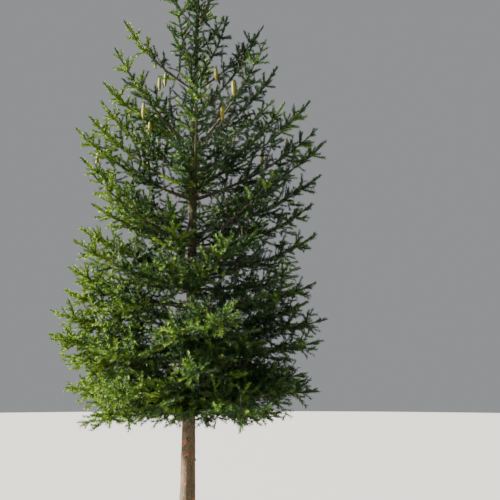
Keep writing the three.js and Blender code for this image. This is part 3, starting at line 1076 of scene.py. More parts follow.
@dataclass(frozen=True)
class ToneRule:
    """The needles' tone: lighter further out, partly for younger needles and partly as painted shade inside
    the crown; lighter at the tips; lighter towards the sun, as painted sunlight; and lighter lower down, as
    painted shade on the top of the crown.
    """

    reach_least: float = 0.15
    reach_gain: float = 0.6
    reach_most: float = 1.1
    # The bearing of the painted sunlight, and how much lighter it makes the needles on that side.
    painted_sun_bearing: float = 155
    painted_sun_gain: float = 0.27
    chance: float = 0.42
    tip_gain: float = 0.1
    # How much darker the top of the crown is painted, as painted shade.
    upper_shade: float = 0.12
    starts: tuple[tuple[float, Tone], ...] = ((0.84, Tone.FRESH_AND_SUNLIT), (0.64, Tone.LIGHT), (0.42, Tone.DEEP))

    def tone(self, out: Vector, bough: Bough, age: float, is_tip: bool) -> Tone:
        """The tone of the needles at a point.

        Args:
            out: The way to the point from the trunk.
            bough: The bough that they stand on.
            age: The bough's place from the top of the crown, 0, to its foot, 1.
            is_tip: Whether the point is the tip of a shoot.

        Returns:
            The tone.
        """
        # Further out is lighter: partly younger needles, partly painted shade inside the crown.
        share = math.hypot(out.x, out.y) / max(bough.reach, self.reach_least)
        # Painted sunlight: needles on the side towards the sun get lighter tones.
        off_sun = math.atan2(out.y, out.x) - math.radians(self.painted_sun_bearing)
        painted_sunlight = math.cos(off_sun) * self.painted_sun_gain * min(share, 1)
        value = self.reach_gain * min(share, self.reach_most) + painted_sunlight + bough.draws.between(0, self.chance)
        value += self.tip_gain if is_tip else 0
        # Painted shade: the upper crown gets darker tones.
        value -= self.upper_shade * (1 - age)
        return next((tone for start, tone in self.starts if value > start), Tone.OLD_AND_SHADED)


@dataclass
class Crown:
    """Grows the boughs and all that stands on them, by the rule of the solids and on to finer twigs."""

    shape: TreeShape
    lowest: float = 1.25
    foot_margin: float = 0.02
    trunk_margin: float = 0.01
    mass: MassRule = MassRule()
    slim: SlimRule = SlimRule()
    trunk_shoot: TrunkShootRule = TrunkShootRule()
    shoot: ShootRule = ShootRule()
    branch: BranchRule = BranchRule()
    twig: TwigRule = TwigRule()
    leader: LeaderRule = LeaderRule()
    tones: ToneRule = ToneRule()
    twigs: list[Twig] = field(default_factory=list)
    boughs: list[Bough] = field(default_factory=list)

    def grow(self) -> None:
        """Grows every whorl, the branches between whorls, the shoots on the trunk and the leader."""
        for whorl, count in enumerate(self.shape.boughs_in_whorl, 1):
            for number in range(count):
                self.grow_mass(whorl, number, 180 / count)
            if whorl > 1:
                self.grow_between(whorl, 1)
        self.grow_between(self.shape.whorls + 1, self.slim.below_lowest)
        for place, azimuth, length, lift in self.slim.placed:
            seed = round(self.slim.placed_seed_step * place)
            self.grow_slim(place, azimuth, length, lift, 1, Draws(seed))
        self.grow_trunk_shoots()
        self.grow_leader()

    def grow_mass(self, whorl: int, number: int, half_wedge: float) -> None:
        """Grows one bough of a whorl with its mass of foliage.

        Args:
            whorl: The whorl.
            number: The bough's number in it, from 0.
            half_wedge: Half of the wedge that each of its boughs has, in degrees.
        """
        shape = self.shape
        draws = Draws(whorl * self.mass.seed_step + number + 1)
        middle = shape.whorl_turn[whorl - 1] + number * 2 * half_wedge
        azimuth = draws.around(middle, shape.turn_spread)
        length = shape.whorl_length(whorl) * draws.around(1, shape.length_spread)
        path = shape.bough_path(whorl, azimuth, length, draws.around(0, shape.lift_spread))
        room = Room(shape, whorl, middle, half_wedge)
        bough = Bough(whorl, path, length, room, shape.distance_out(path[-1]), draws)
        self.boughs.append(bough)
        self.grow_stem(bough)

    def grow_between(self, whorl: int, stretch: float) -> None:
        """Grows the slim branches that stand on the trunk between a whorl and the one above.

        Args:
            whorl: The lower whorl.
            stretch: The share of the trunk between the two that has branches, from the upper one down.
        """
        shape, rule = self.shape, self.slim
        draws = Draws(rule.seed + whorl)
        rise = shape.whorl_height(whorl - 1) - shape.whorl_height(whorl)
        age = shape.whorl_age(whorl)
        count = round(rise * stretch / lerp(*rule.rise, age**rule.rise_ease))
        usual = lerp(*rule.length, age)
        turn = draws.around(*rule.first_turn)
        for number in range(1, count + 1):
            place = whorl - 1 + stretch * (number - 0.5 + draws.around(0, rule.place_spread)) / count
            length = shape.whorl_length(place) * draws.around(usual, rule.length_spread)
            azimuth = turn + number * GOLDEN_TURN + draws.around(0, rule.turn_spread)
            self.grow_slim(place, azimuth, length, draws.around(*rule.lift), usual, draws)

    def grow_slim(
        self, place: float, azimuth: float, length: float, lift: float, usual: float, draws: Draws
    ) -> None:
        """Grows one slim branch with its side branches.

        Args:
            place: Its place between two whorls.
            azimuth: Its bearing, in degrees.
            length: Its length along the axis.
            lift: What is added to the lift of a bough at that place, in degrees.
            usual: The usual length here, as a share of the length of a whorl's boughs.
            draws: The source of draws.
        """
        rule = self.slim
        path = self.shape.bough_path(place, azimuth, length, lift)
        bough = Bough(place, path, length, None, self.shape.distance_out(path[-1]) / usual, draws)
        radii = (rule.foot_radius[0] + rule.foot_radius[1] * length, rule.tip_radius)
        tone = self.tone_at(bough, path[-1], False)
        self.twigs.append(Twig(path[1:], radii, Rank.STEM, tone, bare_share=rule.bare_share))
        self.grow_stem(bough)

    def grow_trunk_shoots(self) -> None:
        """Grows the short shoots that stand on the trunk within the crown."""
        shape, rule = self.shape, self.trunk_shoot
        draws = Draws(rule.seed)
        low, top = shape.whorl_height(shape.whorls), shape.trunk_top
        height, turn = top, 0.0
        while height > low:
            height -= draws.around(*rule.step)
            turn += GOLDEN_TURN
            out = level_direction(math.radians(turn))
            aim = swing(UP, out, math.radians(draws.around(*rule.angle)))
            length = lerp(*rule.length, (top - height) / (top - low)) * draws.around(1, rule.length_spread)
            root = shape.trunk_centre(height) + out * shape.trunk_radius(height) * rule.sunk
            points = [root + aim * length * share for share in (0, 0.5, 1)]
            tone = Tone.LIGHT if draws.between(0, 1) < rule.light_share else Tone.DEEP
            self.twigs.append(Twig(points, rule.radii, Rank.TWIG, tone))

    def grow_leader(self) -> None:
        """Grows the leader above the highest whorl, with its clusters of short shoots."""
        shape, rule = self.shape, self.leader
        bottom, top = shape.trunk_centre(shape.trunk_top), shape.trunk_centre(shape.height)
        room = Room(shape, 0, 0, 180)
        leader = Bough(1, [bottom, top], (top - bottom).length, room, rule.reach, Draws(rule.seed))
        points = [bottom.lerp(top, step / rule.steps) for step in range(rule.steps + 1)]
        self.twigs.append(Twig(points, rule.radii, Rank.STEM, Tone.LIGHT))
        for share, reach in rule.clusters:
            self.grow_cluster(leader, Spot(bottom.lerp(top, share), UP), rule.in_cluster, reach)

    def grow_stem(self, bough: Bough) -> None:
        """Grows the end shoot of a bough, what clothes it, and the side branches at each year's node.

        Args:
            bough: The bough or slim branch.
        """
        rule, draws = self.mass, bough.draws
        has_bare_foot = bough.room and bough.whorl >= self.shape.first_whorl_with_boughs
        stem = bough.length * (1 - (rule.bare_foot if has_bare_foot else rule.slim_bare_foot))
        nodes = max(1, math.floor((stem - rule.last_shoot_least) / rule.node_step))
        self.grow_end(bough)
        age = self.shape.whorl_age(bough.whorl)
        skipped = rule.skipped_faces[min(round(bough.whorl), self.shape.whorls) - 1]
        faces = rule.faces - skipped - (0 if bough.room else 1)
        self.clothe(bough, stem)
        if bough.room:
            self.needle_axis(bough, stem)
        for node in range(nodes, 0, -1):
            place = node * rule.node_step
            spot = bough.back_from_tip(place)
            full = place * lerp(*rule.length_share, age) + lerp(*rule.length_extra, age)
            full = min(full, rule.length_most)
            for number in range(faces):
                turn = rule.face_turn * (node % 2 + 2 * number + int(number > 2))
                upright = abs(math.sin(math.radians(turn)))
                self.side_branch(bough, spot, turn, full * lerp(1, rule.upright_share, upright))
            spot = bough.back_from_tip(place - rule.node_step * draws.around(*rule.pair_place))
            if draws.between(0, 1) <= lerp(*rule.pairs, age):
                self.side_branch(bough, spot, 0, full * rule.pair_share)
                self.side_branch(bough, spot, 180, full * rule.pair_share)

    def clothe(self, bough: Bough, stem: float) -> None:
        """Grows the short shoots that stand on the bough itself and hide it.

        Args:
            bough: The bough.
            stem: The length of it that has foliage.
        """
        rule, draws = self.shoot, bough.draws
        distance = rule.clothing_from
        while distance < stem:
            spot, turn = bough.back_from_tip(distance), draws.around(*rule.clothing_turn)
            self.short_shoot(bough, spot, turn, lerp(*rule.clothing_length, distance / stem))
            step = lerp(*rule.clothing_step, self.shape.whorl_age(bough.whorl))
            distance += draws.around(step, rule.clothing_step_spread)

    def needle_axis(self, bough: Bough, stem: float) -> None:
        """Lets a main bough keep its older needles along the axis, up to the young end shoot.

        Args:
            bough: The bough.
            stem: The length of it that has foliage.
        """
        rule = self.shoot
        first, last = stem * (1 - rule.axis_bare_foot), self.mass.node_step * rule.end_nodes
        if first < last + rule.axis_least:
            return
        steps = math.ceil((first - last) / rule.axis_step)
        points = [bough.back_from_tip(lerp(first, last, step / steps)).point for step in range(steps + 1)]
        thick = self.shape.bough_radius(bough.length, 1 - first / bough.length)
        thin = self.shape.bough_radius(bough.length, 1 - last / bough.length)
        radii = (rule.axis_radius_share * thick, rule.axis_radius_share * thin)
        self.twigs.append(Twig(points, radii, Rank.STEM, Tone.DEEP))

    def tone_at(self, bough: Bough, point: Vector, is_tip: bool) -> Tone:
        """The tone of the needles at a point that belongs to a bough."""
        age = self.shape.whorl_age(bough.whorl)
        return self.tones.tone(self.shape.from_trunk(point), bough, age, is_tip)

    def grow_end(self, bough: Bough) -> None:
        """Grows the last year's shoot of a bough, with clusters of short side shoots.

        Args:
            bough: The bough.
        """
        rule = self.shoot
        tone = self.tone_at(bough, bough.path[-1], True)
        # Painted shade: the end shoots of the upper whorls get the deep green.
        if bough.whorl < rule.first_end_out_of_painted_shade:
            tone = Tone.DEEP
        count = rule.end_steps if bough.whorl > rule.last_upper_whorl else rule.upper_end_steps
        reach = self.mass.node_step * rule.end_nodes
        points = [bough.back_from_tip(reach * (1 - step / count)).point for step in range(count + 1)]
        shoot = Twig(points, rule.end_radii, Rank.STEM, tone, needle_angle=rule.end_needle_angle)
        self.twigs.append(shoot)
        for distance, number, length in rule.end_clusters:
            self.grow_cluster(bough, bough.back_from_tip(distance), number, length)

    def grow_cluster(self, bough: Bough, spot: Spot, number: int, length: float) -> None:
        """Grows a ring of short shoots.

        Args:
            bough: The bough that they belong to.
            spot: Where they stand.
            number: How many there are.
            length: Their usual length.
        """
        turn = bough.draws.between(0, 360)
        for side in range(number):
            self.short_shoot(bough, spot, turn + side * 360 / number, length)

    def short_shoot(self, bough: Bough, spot: Spot, turn: float, length: float) -> None:
        """Grows a short side shoot with needles.

        Args:
            bough: The bough that it belongs to.
            spot: Where it stands.
            turn: Its turn round the stem, in degrees.
            length: Its usual length.
        """
        rule, draws = self.shoot, bough.draws
        aim = swing(spot.along, spot.outward(math.radians(turn)), math.radians(draws.around(*rule.angle)))
        end = spot.point + aim * length * draws.around(1, rule.length_spread)
        tone = self.tone_at(bough, end, True)
        self.twigs.append(Twig([spot.point, end], rule.radii, Rank.SHOOT, tone))

    def side_branch(self, bough: Bough, spot: Spot, turn: float, length: float) -> None:
        """Grows a branch on a bough, at the first length that keeps to the room.

        Args:
            bough: The bough that it belongs to.
            spot: Where it stands.
            turn: Its usual turn round the bough, in degrees.
            length: Its full length.
        """
        rule, draws = self.mass, bough.draws
        outward = spot.outward(math.radians(draws.around(turn, rule.turn_spread)))
        aim = swing(spot.along, outward, math.radians(draws.around(*rule.angle))).normalized()
        side = (spot.along - aim * spot.along.dot(aim)).normalized()
        side = Quaternion(aim, math.radians(draws.around(*rule.roll))) @ side
        for share in rule.shorter_tries:
            tip = spot.point + aim * length * share
            if tip.z > self.lowest and (not bough.room or bough.room.holds(tip)):
                grown = length * share * draws.around(*rule.last_length)
                self.grow_branch(bough, Spot(spot.point, aim), side, grown)
                return

    def grow_branch(self, bough: Bough, foot: Spot, side: Vector, length: float) -> None:
        """Grows the wood and needles of a branch, and the twigs on both its sides and on its face.

        Args:
            bough: The bough that it belongs to.
            foot: Where it starts, and its direction.
            side: The direction of the twigs on one side.
            length: Its length.
        """
        rule, draws = self.branch, bough.draws
        face = foot.along.cross(side).normalized()
        age = self.shape.whorl_age(bough.whorl)
        sag, rise = lerp(*rule.sag, age) * length, lerp(*rule.tip_rise, age) * length
        wander = side * draws.around(0, rule.wander) * length

        def at(share: float) -> Spot:
            """The spot of the branch at a share of its length."""
            bow = (UP * sag + wander) * (4 * share * (1 - share))
            return Spot(foot.point + foot.along * length * share + bow + UP * rise * share**2, foot.along)

        steps = max(rule.steps_least, round(length / rule.point_step))
        points = [at(step / steps).point for step in range(steps + 1)]
        radii = (rule.foot_radius[0] + rule.foot_radius[1] * length, rule.tip_radius)
        tone = self.tone_at(bough, points[-1], False)
        self.twigs.append(Twig(points, radii, Rank.BRANCH, tone, bare_share=rule.bare_share))
        longest = min(lerp(*rule.twig_most, age), length * rule.twig_share)
        twig_step = lerp(*rule.twig_step, age)
        place, count = twig_step * draws.around(*rule.first_twig), draws.between(0, 2)
        while place < length - rule.twigless_tip:
            share = place / length
            count += 1
            way = side if int(count) % 2 else -side
            reach = longest * (1 - rule.twig_loss * share) * draws.around(1, rule.twig_length_spread)
            self.grow_twig(bough, at(share), way, face, reach)
            if int(count) % rule.face_twig_every == 0:
                way = face if draws.between(0, 1) < rule.outer_face_share else -face
                self.grow_twig(bough, at(share), way, side, reach * rule.face_twig_share)
            place += draws.around(twig_step, rule.twig_step_spread)

    def grow_twig(self, bough: Bough, foot: Spot, way: Vector, face: Vector, length: float) -> None:
        """Grows a twig on a branch, and the fine shoots on a long one.

        Args:
            bough: The bough that it belongs to.
            foot: Where it stands on the branch.
            way: The way it points from the branch.
            face: The direction across the branch and that way.
            length: Its length.
        """
        rule, draws = self.twig, bough.draws
        angle = math.radians(draws.around(*rule.angle))
        along = self.levelled(swing(foot.along, way, angle) + face * draws.around(0, rule.flutter))
        end = foot.point + along * length
        if along.z < rule.steepest_down or not self.is_clear(end):
            return
        radii = (rule.foot_radius[0] + rule.foot_radius[1] * length, rule.tip_radius)
        tone = self.tone_at(bough, end, length < rule.tip_most)
        self.twigs.append(Twig([foot.point, end], radii, Rank.TWIG, tone))
        if length < rule.fine_from:
            return
        across = face.cross(along).normalized()
        share, is_left = draws.around(*rule.first_fine), draws.between(0, 1) < 0.5
        while share < rule.last_fine:
            reach = min(length * (1 - share) * rule.fine_share + rule.fine_extra, rule.fine_most)
            reach *= draws.around(1, rule.fine_length_spread)
            out = across if is_left else -across
            aim = swing(along, out, math.radians(draws.around(*rule.angle)))
            aim = self.levelled(aim + face * draws.around(0, rule.fine_flutter))
            start = foot.point.lerp(end, share)
            tip = start + aim * reach
            if self.is_clear(tip):
                tone = self.tone_at(bough, tip, True)
                self.twigs.append(Twig([start, tip], rule.fine_radii, Rank.SHOOT, tone))
            share += rule.fine_step / length * draws.around(1, rule.fine_step_spread)
            is_left = not is_left

    def levelled(self, aim: Vector) -> Vector:
        """The direction of a twig once it has settled nearer the level, a little down."""
        return Vector((aim.x, aim.y, aim.z * self.twig.level - self.twig.droop)).normalized()

    def is_clear(self, point: Vector) -> bool:
        """Whether a point is clear of the trunk and not below the crown's foot."""
        least = self.shape.trunk_radius(point.z) + self.trunk_margin
        return point.z > self.lowest - self.foot_margin and self.shape.distance_out(point) > least


@dataclass
class Trunk:
    """The trunk, drawn out ring by ring and given the relief of scaly bark."""

    shape: TreeShape
    sides: int = 32
    low_step: float = 0.022
    high_step: float = 0.09
    low_height: float = 1.5
    top_gap: float = 1.5
    buttress_bands: tuple[float, ...] = (0.0, 0.06, 0.12, 0.2, 0.3)
    band_height: float = 0.06
    buttress_half_angle: float = 15
    subdivisions: int = 2
    cut_height: float = 0.001
    swellings: Relief = Relief("swell", ReliefPattern.SWELLINGS, 0.09, 0.006)
    scales: Relief = Relief("scales", ReliefPattern.SCALES, 0.013, 0.0028, 0.05)

    def build(self) -> bpy.types.Object:
        """Builds the trunk's mesh.

        Returns:
            The trunk piece, at the origin, with its relief.
        """
        shape = self.shape
        height, radius = 0.0, shape.trunk_radius(0)
        piece = start_ring(self.sides, radius, Vector((0, 0, 0)))
        piece.name = piece.data.name = "trunk_bark"
        for target in self.heights():
            here, there = shape.trunk_centre(height), shape.trunk_centre(target)
            growth = shape.trunk_radius(target) / radius
            draw_on(there - here, there, (growth, growth, 1))
            height, radius = target, shape.trunk_radius(target)
        face_outwards()
        self.draw_out_buttresses(piece)
        bpy.ops.object.mode_set(mode="OBJECT")
        self.add_relief(piece)
        return piece

    def heights(self) -> list[float]:
        """The heights of the rings, closer together on the bare bole.

        Returns:
            One height for each ring above the first.
        """
        heights, height = [], 0.0
        while height < self.shape.trunk_top - self.high_step * self.top_gap:
            height += self.low_step if height < self.low_height else self.high_step
            heights.append(height)
        return [*heights, self.shape.trunk_top]

    def draw_out_buttresses(self, piece: bpy.types.Object) -> None:
        """Moves the sides of the root flare out along each buttress, most of all at the ground.

        Args:
            piece: The trunk, in edit mode.
        """
        shape, most = self.shape, math.radians(self.buttress_half_angle)
        for buttress in range(shape.buttresses):
            outward = level_direction(2 * math.pi * buttress / shape.buttresses)
            for low in self.buttress_bands:
                bpy.ops.mesh.select_all(action="DESELECT")
                bpy.ops.object.mode_set(mode="OBJECT")
                for vertex in piece.data.vertices:
                    flat = Vector((vertex.co.x, vertex.co.y, 0))
                    is_near = flat.length > 0 and flat.angle(outward) < most
                    vertex.select = is_near and low <= vertex.co.z < low + self.band_height
                bpy.ops.object.mode_set(mode="EDIT")
                reach = shape.trunk_radius(low) * shape.buttress_share
                reach *= math.exp(-low / shape.buttress_height)
                bpy.ops.transform.translate(value=outward * reach)

    def add_relief(self, piece: bpy.types.Object) -> None:
        """Subdivides the trunk, raises its swellings and scales, and cuts its foot flat.

        Args:
            piece: The trunk, in object mode.
        """
        deselect_all()
        piece.select_set(True)
        bpy.context.view_layer.objects.active = piece
        subdivide(piece, self.subdivisions)
        self.swellings.raise_on(piece)
        self.scales.raise_on(piece)
        apply_modifiers(piece)
        bpy.ops.object.mode_set(mode="EDIT")
        bpy.ops.mesh.select_all(action="SELECT")
        foot = (0, 0, self.cut_height)
        bpy.ops.mesh.bisect(plane_co=foot, plane_no=(0, 0, 1), use_fill=True, clear_inner=True)
        bpy.ops.object.mode_set(mode="OBJECT")
        bpy.ops.object.shade_smooth()

    def dress(self, piece: bpy.types.Object) -> None:
        """Gives the trunk its bark."""
        piece.data.materials.append(TrunkBark().material())


@dataclass
class Knots:
    """The knots of pruned boughs on the bare bole: a sunken face in a raised ring.

    Each has a place by its height, bearing and radius. Their profile goes on from the foot by shares of
    their reach, each with how much the ring grows there.
    """

    shape: TreeShape
    places: tuple[Triple, ...] = (
        (1.093, 243, 0.021), (0.998, 264, 0.018), (0.735, 252, 0.013), (0.94, 22, 0.016), (1.2, 118, 0.019),
        (0.62, 331, 0.014),
    )
    profile: tuple[Pair, ...] = (
        (0.75, 0.9), (0.25, 0.86), (0.0, 0.8), (-0.25, 0.88), (0.0, 0.5), (0.05, 0.4)
    )
    sides: int = 24
    foot_size: float = 1.25
    foot_share: float = 0.9
    sunk: float = 0.1
    stands_out: float = 0.007
    rise: float = 0.25

    def build(self) -> bpy.types.Object:
        """Builds the knots and joins them.

        Returns:
            The piece with all the knots.
        """
        knots = [self.one(height, math.radians(azimuth), radius) for height, azimuth, radius in self.places]
        return joined(knots, "pruned_knots")

    def one(self, height: float, azimuth: float, radius: float) -> bpy.types.Object:
        """Builds one knot, from a disc that is extruded, inset and pushed in.

        Args:
            height: Its height on the trunk.
            azimuth: Its bearing, in radians.
            radius: Its radius.

        Returns:
            The knot.
        """
        trunk_radius = self.shape.trunk_radius(height)
        outward = Vector((math.cos(azimuth), math.sin(azimuth), self.rise)).normalized()
        place = self.shape.trunk_centre(height) + outward * trunk_radius * self.foot_share
        knot = start_ring(self.sides, radius * self.foot_size, place, outward)
        reach = trunk_radius * self.sunk + self.stands_out
        for step, growth in self.profile:
            move = outward * reach * step
            place = place + move
            draw_on(move, place, (growth, growth, growth))
        face_outwards()
        bpy.ops.object.mode_set(mode="OBJECT")
        subdivide(knot, 1)
        apply_modifiers(knot)
        bpy.ops.object.shade_smooth()
        return knot

    def dress(self, piece: bpy.types.Object) -> None:
        """Gives the knots their wood."""
        piece.data.materials.append(SCAR_WOOD.material())


@dataclass
class Limbs:
    """The main boughs as limbs that are drawn out along their paths, with a fine relief."""

    shape: TreeShape
    boughs: list[Bough]
    sides: int = 8
    sunk: float = 0.4
    collar: float = 1.15
    relief: Relief = Relief("bough_relief", ReliefPattern.SWELLINGS, 0.02, 0.0016)

    def build(self) -> bpy.types.Object:
        """Builds every bough and joins them.

        Returns:
            The piece with all the boughs.
        """
        piece = joined([self.one(bough) for bough in self.boughs], "bough_bark")
        subdivide(piece, 1)
        self.relief.raise_on(piece)
        apply_modifiers(piece)
        bpy.ops.object.shade_smooth()
        return piece

    def one(self, bough: Bough) -> bpy.types.Object:
        """Builds one bough, from a ring that is extruded along the path and narrowed.

        Args:
            bough: The bough.

        Returns:
            The limb.
        """
        path = bough.path
        mean = (path[-1] - path[0]).normalized()
        outward = Vector((mean.x, mean.y, 0)).normalized()
        place = path[0] + outward * self.shape.trunk_radius(path[0].z) * self.sunk
        radius = self.shape.bough_radius(bough.length, 0) * self.collar
        limb = start_ring(self.sides, radius, place, mean)
        for step in range(2, len(path)):
            narrowed = self.shape.bough_radius(bough.length, step / self.shape.path_steps)
            growth = narrowed / radius
            draw_on(path[step] - place, path[step], (growth, growth, growth))
            place, radius = path[step], narrowed
        face_outwards()
        bpy.ops.object.mode_set(mode="OBJECT")
        return limb

    def dress(self, piece: bpy.types.Object) -> None:
        """Gives the boughs their bark."""
        piece.data.materials.append(BOUGH_BARK.material())


@dataclass
class TwigWood:
    """The wood of all side branches and twigs as slim three-sided tubes, and their buds."""

    twigs: list[Twig]
    sides: int = 3
    bud_length: float = 0.007
    bud_radius: float = 0.0026
    bud_foot_share: float = 0.5
    off_twigs: Triple = (0.3, 0.5, 0.81)

    def build(self) -> list[bpy.types.Object]:
        """Builds the wood.

        Returns:
            Its pieces, each under the limit of triangles.
        """
        points: list[Vector] = []
        faces: list[tuple[int, int, int]] = []
        for twig in self.twigs:
            rows = len(twig.points)
            faces += tube_faces(len(points), rows, self.sides)
            for row, place in enumerate(twig.points):
                ahead = twig.points[min(row + 1, rows - 1)] - twig.points[max(row - 1, 0)]
                across, up = cross_directions(ahead.normalized())
                radius = lerp(*twig.radii, row / (rows - 1))
                points += ring_points(place, across, up, radius, self.sides)
        all_points = np.array(points, np.float32)
        material = TWIG_BARK.material()
        pieces = []
        for number, part in enumerate(split_faces(np.array(faces, np.int32)), 1):
            used, local = np.unique(part, return_inverse=True)
            pieces.append(mesh_piece(f"twigs_{number}", all_points[used], local.reshape(-1, 3), material))
        return pieces

    def build_buds(self) -> bpy.types.Object:
        """Builds a pointed bud on the end of every twig but the shortest.

        Returns:
            The piece with all the buds.
        """
        budded = [twig for twig in self.twigs if twig.rank is not Rank.SHOOT]
        ends = np.array([twig.points[-1] for twig in budded], np.float32)
        along = unit(ends - np.array([twig.points[-2] for twig in budded], np.float32))
        across = unit(np.cross(along, self.off_twigs))
        up = np.cross(across, along)
        rings = [ends + swing(across, up, angle) * self.bud_radius for angle in np.radians((0, 120, 240))]
        feet = ends - along * self.bud_length * self.bud_foot_share
        points = np.stack([feet, *rings, ends + along * self.bud_length], axis=1).reshape(-1, 3)
        pattern = np.array([(0, 2, 1), (0, 3, 2), (0, 1, 3), (4, 1, 2), (4, 2, 3), (4, 3, 1)])
        faces = (pattern[None] + 5 * np.arange(len(ends))[:, None, None]).reshape(-1, 3)
        return mesh_piece("buds", points, faces, BUD_SCALES.material())


@dataclass
class Needles:
    """The needles of every shoot: flat blades of two faces, set round the twig and pointing forward."""

    twigs: list[Twig]
    count: int = 500_000
    length: float = 0.028
    length_range: Pair = (0.75, 1.05)
    width: float = 0.0072
    width_range: Pair = (0.8, 1.1)
    tip_share: float = 0.5
    turn_spread: float = 0.2
    angle_spread: float = 9
    roll_spread: float = 32
    foot_and_top: Pair = (1.6, 5.2)
    fullness: Pair = (0.9, 1.45)
    lift: float = 0.12
    root_depth: float = 0.6
    off_twigs: Triple = (0.21, 0.13, 0.97)
    seed: int = 11

    def segments(self) -> dict[str, np.ndarray]:
        """The needled stretches of all twigs.

        Returns:
            Their starts, ends, radii, tones and angles, one a row.
        """
        rows: dict[str, list] = {"start": [], "end": [], "radius": [], "tone": [], "angle": []}
        tones = list(Tone)
        for twig in self.twigs:
            steps = len(twig.points) - 1
            for step in range(steps):
                if (step + 0.5) / steps < twig.bare_share:
                    continue
                rows["start"].append(twig.points[step])
                rows["end"].append(twig.points[step + 1])
                rows["radius"].append(lerp(*twig.radii, (step + 0.5) / steps))
                rows["tone"].append(tones.index(twig.tone))
                rows["angle"].append(twig.needle_angle)
        return {key: np.array(value, np.float64) for key, value in rows.items()}

    def build(self) -> list[bpy.types.Object]:
        """Builds the needles, each tone in pieces of its own.

        Returns:
            The pieces with their materials.
        """
        rng = np.random.default_rng(self.seed)
        rows = self.segments()
        lengths = np.linalg.norm(rows["end"] - rows["start"], axis=1)
        LOG.info("%d twigs, %.0f m of needled wood", len(self.twigs), lengths.sum())
        fullness = np.array([NEEDLE_COATS[tone].fullness for tone in Tone])
        wanted = lengths * fullness[rows["tone"].astype(int)]
        wanted *= np.interp(rows["start"][:, 2], self.foot_and_top, self.fullness)
        wanted *= self.count / wanted.sum()
        counts = np.floor(wanted + rng.random(len(wanted))).astype(int)
        pieces = []
        for index, tone in enumerate(Tone):
            chosen = rows["tone"] == index
            toned = {key: value[chosen] for key, value in rows.items()}
            points, faces = self.blades(toned, counts[chosen], rng)
            material = NEEDLE_COATS[tone].finish(tone).material()
            for number, part in enumerate(split_faces(faces), 1):
                low, high = part.min(), part.max() + 1
                name = f"needles_{tone.value}_{number}"
                pieces.append(mesh_piece(name, points[low:high], part - low, material))
        return pieces

    def blades(self, rows: dict[str, np.ndarray], counts: np.ndarray, rng: np.random.Generator) -> Arrays:
        """The points and faces of the needles on some stretches.

        Args:
            rows: The stretches.
            counts: How many needles each has.
            rng: The source of draws.

        Returns:
            Four points and two faces for each needle.
        """
        which = np.repeat(np.arange(len(counts)), counts)
        total = len(which)
        order = np.arange(total) - np.repeat(np.cumsum(counts) - counts, counts)
        share = (order + rng.random(total)) / counts[which]
        axis = unit(rows["end"] - rows["start"])[which]
        across = unit(np.cross(axis, self.off_twigs))
        up = np.cross(across, axis)
        phase = (rng.random(len(counts)) * 2 * math.pi)[which]
        turn = phase + order * GOLDEN_ANGLE + rng.normal(0, self.turn_spread, total)
        radial = across * np.cos(turn)[:, None] + up * np.sin(turn)[:, None]
        angle = np.radians(rows["angle"][which] + rng.normal(0, self.angle_spread, total))[:, None]
        aim = axis * np.cos(angle) + radial * np.sin(angle)
        aim[:, 2] += self.lift * rng.random(total)
        aim = unit(aim)
        start = rows["start"][which] + (rows["end"] - rows["start"])[which] * share[:, None]
        root = start + radial * (rows["radius"][which] * self.root_depth)[:, None]
        tip = root + aim * (self.length * rng.uniform(*self.length_range, total)[:, None])
        first = unit(np.cross(aim, axis))
        second = np.cross(aim, first)
        roll = np.radians(rng.normal(0, self.roll_spread, total))[:, None]
        side = first * np.cos(roll) + second * np.sin(roll)
        side = side * np.sign((np.cross(aim, side) * radial).sum(axis=1, keepdims=True))
        foot = side * (self.width * rng.uniform(*self.width_range, total)[:, None] / 2)
        end = foot * self.tip_share
        points = np.stack([root + foot, root - foot, tip - end, tip + end], axis=1)
        faces = np.array([(0, 1, 2), (0, 2, 3)])[None] + 4 * np.arange(total)[:, None, None]
        return points.reshape(-1, 3), faces.reshape(-1, 3)


